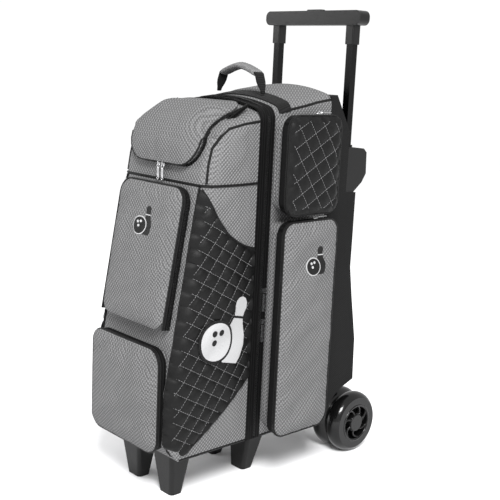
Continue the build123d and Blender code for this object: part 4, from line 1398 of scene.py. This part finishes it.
# %% Curved spokes
SPOKES = 7
HUB, SPOKE, RING = 17 * MM, 20 * MM, 38 * MM  # the spokes' start and length, the ring's radius
wheel_low, wheel_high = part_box("wheel_core_right")
hub_y, hub_z = (wheel_low[1] + wheel_high[1]) / 2, (wheel_low[2] + wheel_high[2]) / 2
for side, sign in SIDE.items():
    runs = []
    for k in range(SPOKES):
        run = []
        for step in range(9):
            t = step / 8
            radius = HUB + SPOKE * t
            angle = 2 * pi * k / SPOKES + 0.55 * t * t
            x = sign * (wheel_high[0] - 3.2 * MM - 2.5 * MM * sin(pi * t))
            run.append((x, hub_y + radius * cos(angle), hub_z + radius * sin(angle)))
        runs.append(run)
    runs.append([(sign * (wheel_high[0] - 1.2 * MM), y, z)
                 for y, z in ring(hub_y, hub_z, RING, 48) + [(hub_y + RING, hub_z)]])
    ob = tube(f"wheel_spokes_{side}", runs, 2.6 * MM, sides=3)
    smooth(ob, 80)
    sew_in(ob, f"wheel_{side}", core_plastic, "core_plastic")

# %% [markdown]
# ## Soft edges on the hard parts
# Moulded and bent parts have small rounded edges that catch the light. The CAD parts keep their
# shape, and a live Bevel modifier rounds only their sharp edges.

# %% Bevels on the carried-over parts
for name in ("front_foot_left", "front_foot_right", "mid_foot_left", "mid_foot_right", "front_tray",
             "base_tray", "upper_tube_bracket", "release_button"):
    node = nodes[name]
    rounding = node.modifiers.new("rounding", "BEVEL")
    rounding.width = 0.8 * MM
    rounding.segments = 2
    rounding.limit_method = "ANGLE"
    rounding.angle_limit = radians(40)

# %% [markdown]
# ## Floor, light and camera
# A pale floor, a white world and two soft lamps are a product studio. The key lamp stands high on
# the right and a weak one on the left, so the cloth's relief shows. The camera stands in front, to
# the right, a little above the bag's middle, and is rolled so that the bag's tilt in the frame
# comes out right.

# %% Stage
bpy.ops.object.select_all(action="DESELECT")
bpy.ops.mesh.primitive_plane_add(size=12, location=(0, 0, -0.5 * MM))
floor = bpy.context.object
floor.name = "floor"
floor_finish = Tree("studio_floor", 0.9)
floor_finish.colour(floor_finish.mix(floor_finish.noise(3.0), 0.96, 0.98))
floor.data.materials.append(floor_finish.material)

WORLD_STRENGTH = 1.03
LAMP_AIM = (0, 0, 0.4)
KEY_PLACE, KEY_SIZE, KEY_POWER = (1.9, -1.5, 2.3), 0.9, 150
SIDE_PLACE, SIDE_SIZE, SIDE_POWER = (-2.0, -1.6, 1.4), 0.8, 15
CAMERA_PLACE = (1.3084, -1.2252, 0.7906)
AZIMUTH, ELEVATION, ROLL = radians(47.84), radians(11.14), radians(2.47)

world = bpy.data.worlds.new("studio")
world.use_nodes = True
sky = world.node_tree.nodes["Background"]
sky.inputs["Color"].default_value = (1, 1, 1, 1)
sky.inputs["Strength"].default_value = WORLD_STRENGTH
bpy.context.scene.world = world


def lamp(name, place, size, power):
    light = bpy.data.lights.new(name, "AREA")
    light.size = size
    light.energy = power
    ob = bpy.data.objects.new(name, light)
    ob.location = place
    ob.rotation_euler = (Vector(LAMP_AIM) - Vector(place)).to_track_quat("-Z", "Y").to_euler()
    bpy.context.scene.collection.objects.link(ob)


lamp("key", KEY_PLACE, KEY_SIZE, KEY_POWER)
lamp("side", SIDE_PLACE, SIDE_SIZE, SIDE_POWER)

bpy.context.scene.view_settings.view_transform = "Standard"
back = Vector((sin(AZIMUTH) * cos(ELEVATION), -cos(AZIMUTH) * cos(ELEVATION), sin(ELEVATION)))
level_right = Vector((cos(AZIMUTH), sin(AZIMUTH), 0))
level_up = back.cross(level_right)
right = level_right * cos(ROLL) + level_up * sin(ROLL)
top = level_up * cos(ROLL) - level_right * sin(ROLL)
lens = bpy.data.cameras.new("camera")
lens.lens = 66.69
lens.shift_x = 0.046
lens.shift_y = -0.0065
camera = bpy.data.objects.new("camera", lens)
camera.matrix_world = (Matrix.Translation(CAMERA_PLACE)
                       @ Matrix((right, top, back)).transposed().to_4x4())
bpy.context.scene.collection.objects.link(camera)
bpy.context.scene.camera = camera
